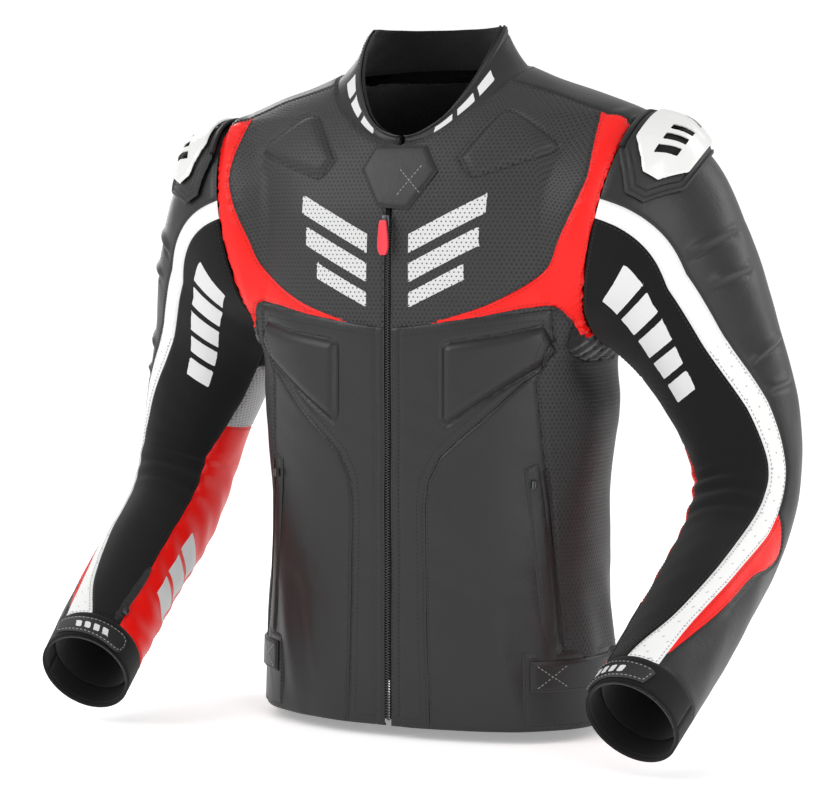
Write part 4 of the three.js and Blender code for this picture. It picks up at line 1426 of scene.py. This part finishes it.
welt = {"raised": 1.6, "wall": 1.8, "sliderHeight": 237.0}
black = (blackLeather, "leather_black", "blackThread")
for hand, side in bothSides:
    outline = [(side * x, z) for x, z in ((131, 252), (143, 257), (158.5, 78), (147, 74))]
    turns = sorted(math.degrees(float(turnAt(x, np.array(160.0)))) * side for x in (120, 168))
    flap = bodyPatch(turns, (70, 260), welt["raised"], outline)
    under = [f"flank_{hand}_leather"]
    sewnPatch(f"pocket_welt_{hand}", flap, black, "torso", welt["wall"], sheetRests=under)
    z = np.linspace(82, 250, 40)
    line = bodyPoints(side * turnAt(np.interp(z, [74, 257], [161.5, 146.5]), z), z, 0.6)
    out = line * [1, 1, 0] / np.linalg.norm(line[:, :2], axis=1, keepdims=True)
    zipTeeth(f"pocket_teeth_{hand}", line, out, "torso", 2.2, (2.4, 1.2, 1.1))
    height = np.array(welt["sliderHeight"])
    turn = side * float(turnAt(np.interp(height, [92, 250], [154, 134]), height))
    place = bodyPoints(np.array(turn), height, 5.2)
    axes = np.array([[math.cos(turn), math.sin(turn), 0], [math.sin(turn), -math.cos(turn), 0], [0, 0, 1]])
    node = f"pocket_slider_{hand}"
    sliderShape(f"pocket_slider_body_{hand}", place, axes, 0.75, node, node)
    base = bodyPatch(sorted((side * 55, side * 112)), (3, 76), 0.9)
    under = [f"side_{hand}_leather"]
    sewnPatch(f"hem_patch_{hand}", base, black, "torso", 1.6, rows=(2.4,), sheetRests=under)
    strap = bodyPatch(sorted((side * 57, side * 104)), (38, 68), 4.0)
    sewnPatch(
        f"waist_strap_leather_{hand}",
        strap,
        black,
        f"waist_strap_{hand}",
        2.2,
        [f"waist_strap_{hand}"],
        sheetRests=[f"hem_patch_{hand}"],
    )

    def strapCross(u, v):
        turn = np.radians(side * (58 + 12 * u))
        points = bodyPoints(turn, 40 + 26 * v, 4.1)
        return points, points * [1, 1, 0] / 150

    sewCross(strapCross, f"waist_strap_{hand}")

trouserZip = {"y": 93.0, "wide": 110, "low": 14, "high": 34, "teethY": 91.8}


def trouserTape(u, v):
    x = trouserZip["wide"] * (u - 0.5)
    z = trouserZip["low"] + (trouserZip["high"] - trouserZip["low"]) * v
    return np.stack([x, 0 * u + trouserZip["y"], z], -1), u, v


tape = patchSheet(trouserTape, 30, 8, (110, 20))
faceOutwards(tape, np.array([0, 400, 24]))
sewnPatch(
    "trouser_zip_tape",
    tape,
    (zipTape, "stretch_fabric", "blackThread"),
    "torso",
    1.0,
    ["trouser_zip"],
    sheetRests=["body_lining_mesh_left"],
)
x = np.linspace(-50, 50, 30)
line = np.stack([x, 0 * x + trouserZip["teethY"], 0 * x + 20], 1)
zipTeeth("trouser_zip_teeth", line, np.tile([0.0, -1.0, 0.0], (30, 1)), "torso")


cup = {
    "middle": 12,
    "surroundSpread": 56,
    "cupSpread": 44,
    "dome": 6.5,
    "outline": [(1, 36), (1, 62), (17, 97), (83, 97), (99, 62), (99, 36), (80, 3), (20, 3)],
    "creases": (0.8, 1.6, 2.4, 3.6, 4.8, 6.2, 7.4, 8.6, 10, 12),
}


# A patch over the sleeve head, kept clear of the armhole, as in place(u, v, raised).
def capPlace(side, spread, low, high):
    def place(u, v, raised):
        points = sleevePoints(1, cup["middle"] + spread * (2 * u - 1), low + (high - low) * v, raised)
        short = np.maximum(4 - armholeDistance(points), 0)
        return (points + short[..., None] * armholeNormal) * [side, 1, 1]

    return place


def patchSize(place):
    line = np.linspace(0, 1, 60)
    across, down = place(line, 0.5 + 0 * line, 0.0), place(0.5 + 0 * line, line, 0.0)
    return [float(np.linalg.norm(np.diff(p, axis=0), axis=1).sum()) for p in (across, down)]


# Both plates of the cup are cut to the same eight-sided outline, in percent of the patch.
def capObject(name, side, place, relief, top, wall, material, openings=()):
    wide, high = patchSize(place)
    onPatch = lambda outline: [(a * wide / 100, b * high / 100) for a, b in outline]
    outline = onPatch(cup["outline"])

    def spots(u, v):
        return place(u, v, 0.0), u * wide, v * high

    sheet = cutOutline(patchSheet(spots, 84, 56, (wide, high)), outline)
    for inset in cup["creases"]:
        splitSheet(sheet, outlineDistance(outline, *sheet["table"][:, 5:7].T) + inset)
    for opening in openings:
        sheet = cutOutline(sheet, onPatch(opening), False)
    a, b = sheet["table"][:, 5:7].T
    edge = -outlineDistance(outline, a, b)
    sheet["table"][:, :3] = place(a / wide, b / high, top + relief(a / wide - 0.5, edge))
    faceOutwards(sheet, catmullRom(sleeveLine, np.array(1.0))[0] * [side, 1, 1])
    points = sheet["table"][:, :3]
    normals = vertexNormals(points, sheet["faces"])
    return thickObject(name, points, normals, sheet["faces"], material, sheet["table"][:, 3:5], wall)


def domeRelief(across, edge):
    rise = cup["dome"] * smoothStep(-14, 30, edge) + 1.4 * smoothStep(0, 1.6, edge)
    return rise + 1.0 * np.exp(-((across / 0.03) ** 2)) * smoothStep(4, 12, edge)


def rubberRelief(across, edge):
    ridges = 1.9 * np.exp(-(((edge - 2.2) / 1.7) ** 2)) + 1.9 * np.exp(-(((edge - 7.4) / 1.7) ** 2))
    return ridges + 1.2 * smoothStep(9.5, 12, edge)


slots = [[(a, 66), (a + 6, 66), (a + 11, 34), (a + 5, 34)] for a in (56, 66, 76)]
slots += [[(100 - a, b) for a, b in slot] for slot in slots]
cuffStyle = (neopreneKnit, "neoprene", "blackThread")
for hand, side in bothSides:
    surround = capPlace(side, cup["surroundSpread"], 0.78, 1.3)
    rubber = capObject(f"cup_surround_rubber_{hand}", side, surround, rubberRelief, 3.6, 2.4, blackRubber)
    dome = capPlace(side, cup["cupSpread"], 0.86, 1.24)
    shell = capObject(f"shoulder_cup_shell_{hand}", side, dome, domeRelief, 6.6, 2.2, cupPlastic, slots)
    for made, slot, node in ((rubber, "rubber_black", "cup_surround"), (shell, "cup_white", "shoulder_cup")):
        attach(made, f"upper_sleeve_{hand}")
        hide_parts(f"{node}_{hand}")
    arm = f"forearm_{hand}"
    cuff = sleevePatch(side, (0, 360), (553, 590), 0.0)
    under = [f"outer_lower_{hand}"]
    sewnPatch(f"cuff_knit_{hand}", cuff, cuffStyle, arm, 2.4, [f"cuff_{hand}"], rows=(), sheetRests=under)
    outline = [(60, 566), (66, 563), (150, 562), (158, 565), (160, 574), (157, 583), (150, 586), (66, 582)]
    tab = sleevePatch(side, (56, 164), (560, 588), 3.0, outline)
    strapStyle = (blackRubber, "rubber_black", "greyThread")
    strap, under = f"cuff_strap_{hand}", [f"cuff_knit_{hand}"]
    sewnPatch(f"cuff_strap_tab_{hand}", tab, strapStyle, strap, 2.2, [strap], sheetRests=under)
    marks = [[(a, 570), (a + 7, 570), (a + 9, 578), (a + 2, 578)] for a in (92, 103, 114, 125)]
    inkPatch(f"strap_marks_{hand}", tab, marks, (5, 6), greyInk, strap)
    lengths = np.linspace(470, 553, 40)
    knots = np.interp(lengths, knotLengths, np.arange(10))
    degrees = np.interp(lengths, [469, 553], [143, 134])
    line = sleeveSurface(side, degrees, knots, 0.9)
    zipTeeth(f"wrist_teeth_{hand}", line, sleeveNormals(side, degrees, knots), arm, 2.2, (2.4, 1.2, 1.1))
    edges = [(d - 6, s) for d, s in zip(degrees[::6], lengths[::6])]
    edges += [(d + 6, s) for d, s in zip(degrees[::-6], lengths[::-6])]
    strip = sleevePatch(side, (122, 156), (466, 556), 0.5, edges)
    tapeStyle = (zipTape, "stretch_fabric", "blackThread")
    sewnPatch(f"wrist_tape_{hand}", strip, tapeStyle, arm, 0.9, sheetRests=[f"inner_red_{hand}"])
    at = np.array([8.38, 8.4, 8.42])
    spots = sleevePoints(side, 140 + 0 * at, at, 2.8)
    axes = lineAxes(spots, sleeveNormals(side, 140 + 0 * at, at))[1]
    node = f"wrist_slider_{hand}"
    sliderShape(f"wrist_slider_body_{hand}", spots[1], axes, 0.75, node, node)
print("cups, cuffs and straps")


liningInset = 12.0
liningLengths = (-2, 566)  # along the sleeve, from the armhole to the cuff
liningTable, liningFaces = torsoTable(-liningInset, 150, 7)
liningSheet = {"table": liningTable, "faces": liningFaces}
spots = faceMiddles(liningSheet)
reach = armholeDistance(spots[:, :3])
clear = np.hypot(spots[:, 0] / 96, (spots[:, 1] + 16) / 74) > 1
keep = clear & ((reach < -2) | (spots[:, 2] < 345)) & (spots[:, 2] > 8)
keep &= ~((spots[:, 1] < 0) & (np.abs(spots[:, 0]) < 12))
liningSheet = keepFaces(liningSheet, keep)
for hand, side in bothSides:
    half = keepFaces(liningSheet, faceMiddles(liningSheet)[:, 0] * side > 0)
    table, faces = half["table"], half["faces"]
    if np.ptp(table[:, 7]) < np.ptp(table[:, 3]):
        table[:, 3] = table[:, 7]
    normals = vertexNormals(table[:, :3], faces)
    table[:, :3] += normals * softFolds(table[:, :3] * 1.6, 1.2)[:, None]
    normals = vertexNormals(table[:, :3], faces)
    title = f"body_lining_mesh_{hand}"
    made = thickObject(title, table[:, :3], normals, faces, liningMesh, table[:, 3:5], 1.2)
    declareSheet(made, table, faces, ["back_protector_foam"])
    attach(made, "torso")
    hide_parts(f"body_lining_{hand}")

    def tubePlace(u, v):
        lengths = liningLengths[0] + (liningLengths[1] - liningLengths[0]) * v
        knots = np.interp(lengths, knotLengths, np.arange(10))
        return sleevePoints(side, 360 * u, knots, -11 + 6 * v**2), 360 * u, v

    tube = patchSheet(tubePlace, 60, 110, (360, 568))
    table, faces = tube["table"], tube["faces"]
    short = np.maximum(9 - armholeDistance(table[:, :3]), 0)
    table[:, :3] += short[:, None] * armholeNormal * [side, 1, 1]
    faceOutwards(tube, catmullRom(sleeveLine, np.array(3.0))[0] * [side, 1, 1])
    normals = vertexNormals(table[:, :3], tube["faces"])
    title = f"sleeve_lining_mesh_{hand}"
    made = thickObject(title, table[:, :3], normals, tube["faces"], liningMesh, table[:, 3:5], 1.0)
    declareSheet(made, table, tube["faces"], [])
    followBlend(made, f"elbow_{hand}")
    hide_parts(f"sleeve_lining_{hand}")

    def shoulderPad(u, v, raised):
        points = sleevePoints(1, -38 + 76 * u, 1.19 + 1.47 * v, raised)
        short = np.maximum(5 - armholeDistance(points), 0)
        return (points + short[..., None] * armholeNormal) * [side, 1, 1]

    upper, armour = f"upper_sleeve_{hand}", f"shoulder_armour_{hand}"
    padObject(f"shoulder_foam_{hand}", shoulderPad, 30, 26, -5.2, -10.4, upper, armour)
    elbowPad = lambda u, v, raised: sleevePoints(side, -95 + 90 * u, 5.75 + 1.6 * v, raised)
    lower, armour = f"forearm_{hand}", f"elbow_armour_{hand}"
    padObject(f"elbow_foam_{hand}", elbowPad, 30, 40, -5.2, -10.2, lower, armour)


def protectorPad(u, v, raised):
    half = 70 + 45 * np.sin(math.pi * (0.15 + 0.6 * v))
    z = 112 + 386 * v
    turn = math.pi - turnAt(half * (2 * u - 1), z)
    return bodyPoints(turn, z, raised)


padObject("back_protector_foam", protectorPad, 50, 90, -5.4, -10.6, "torso", "back_protector", ridges=7)
print("linings and armour")


threads = {
    "blackThread": blackThread,
    "greyThread": greyThread,
    "redThread": redThread,
    "whiteThread": whiteThread,
}
for (group, thread), runs in stitchGroups.items():
    made = stitchMesh(f"stitches_{group}_{thread}", np.vstack(runs), threads[thread])
    follow(made, group)
print("stitches")


view = {"azimuth": 26.0, "elevation": 4.0, "distance": 2.5, "lens": 109.8, "shift": 0.030}


def makeStage():
    material, tree, shader = startMaterial("pale floor", "#ffffff", 0.9, Emission_Strength=0.3)
    shader.inputs["Emission Color"].default_value = (1, 1, 1, 1)
    bpy.ops.mesh.primitive_plane_add(size=40, location=(0, 0, startBox[0].z - 0.012))
    floor = bpy.context.object
    floor.name = "floor"
    floor.data.materials.append(material)
    world = bpy.data.worlds.new("studio")
    bpy.context.scene.world = world
    world.use_nodes = True
    tree = world.node_tree
    seen = addNode(tree, "ShaderNodeLightPath", {}).outputs["Is Camera Ray"]
    strength = addNode(tree, "ShaderNodeMapRange", {0: seen, 3: 0.8, 4: 1.05})
    tree.links.new(strength.outputs[0], tree.nodes["Background"].inputs["Strength"])
    tree.nodes["Background"].inputs["Color"].default_value = (1, 1, 1, 1)


def makeLight(name, place, aim, size, power):
    data = bpy.data.lights.new(name, "AREA")
    data.shape = "RECTANGLE"
    data.size, data.size_y = size
    data.energy = power
    light = bpy.data.objects.new(name, data)
    light.location = place
    light.rotation_euler = (Vector(aim) - Vector(place)).to_track_quat("-Z", "Y").to_euler()
    bpy.context.collection.objects.link(light)


def makeCamera():
    azimuth, elevation = math.radians(view["azimuth"]), math.radians(view["elevation"])
    right = Vector((math.cos(azimuth), math.sin(azimuth), 0))
    level = math.cos(elevation)
    back = Vector((math.sin(azimuth) * level, -math.cos(azimuth) * level, math.sin(elevation)))
    target = Vector(toFrame((0, 0, 308)))
    data = bpy.data.cameras.new("camera")
    data.lens = view["lens"]
    camera = bpy.data.objects.new("camera", data)
    camera.location = target - right * view["shift"] + back * view["distance"]
    camera.rotation_euler = (-back).to_track_quat("-Z", "Y").to_euler()
    bpy.context.collection.objects.link(camera)
    bpy.context.scene.camera = camera


makeStage()
makeLight("key", (-1.6, -1.9, 1.2), (0, 0, -0.3), (1.2, 1.6), 26)
makeLight("fill", (1.9, -1.7, 0.4), (0, 0, -0.3), (1.0, 1.6), 16)
makeLight("rim left", (-1.6, 1.2, 0.6), (0, 0, -0.2), (0.6, 1.6), 12)
makeLight("rim right", (1.7, 1.2, 0.7), (0, 0, -0.2), (0.6, 1.6), 12)
makeCamera()
bpy.context.scene.view_settings.view_transform = "Standard"
bpy.context.view_layer.update()
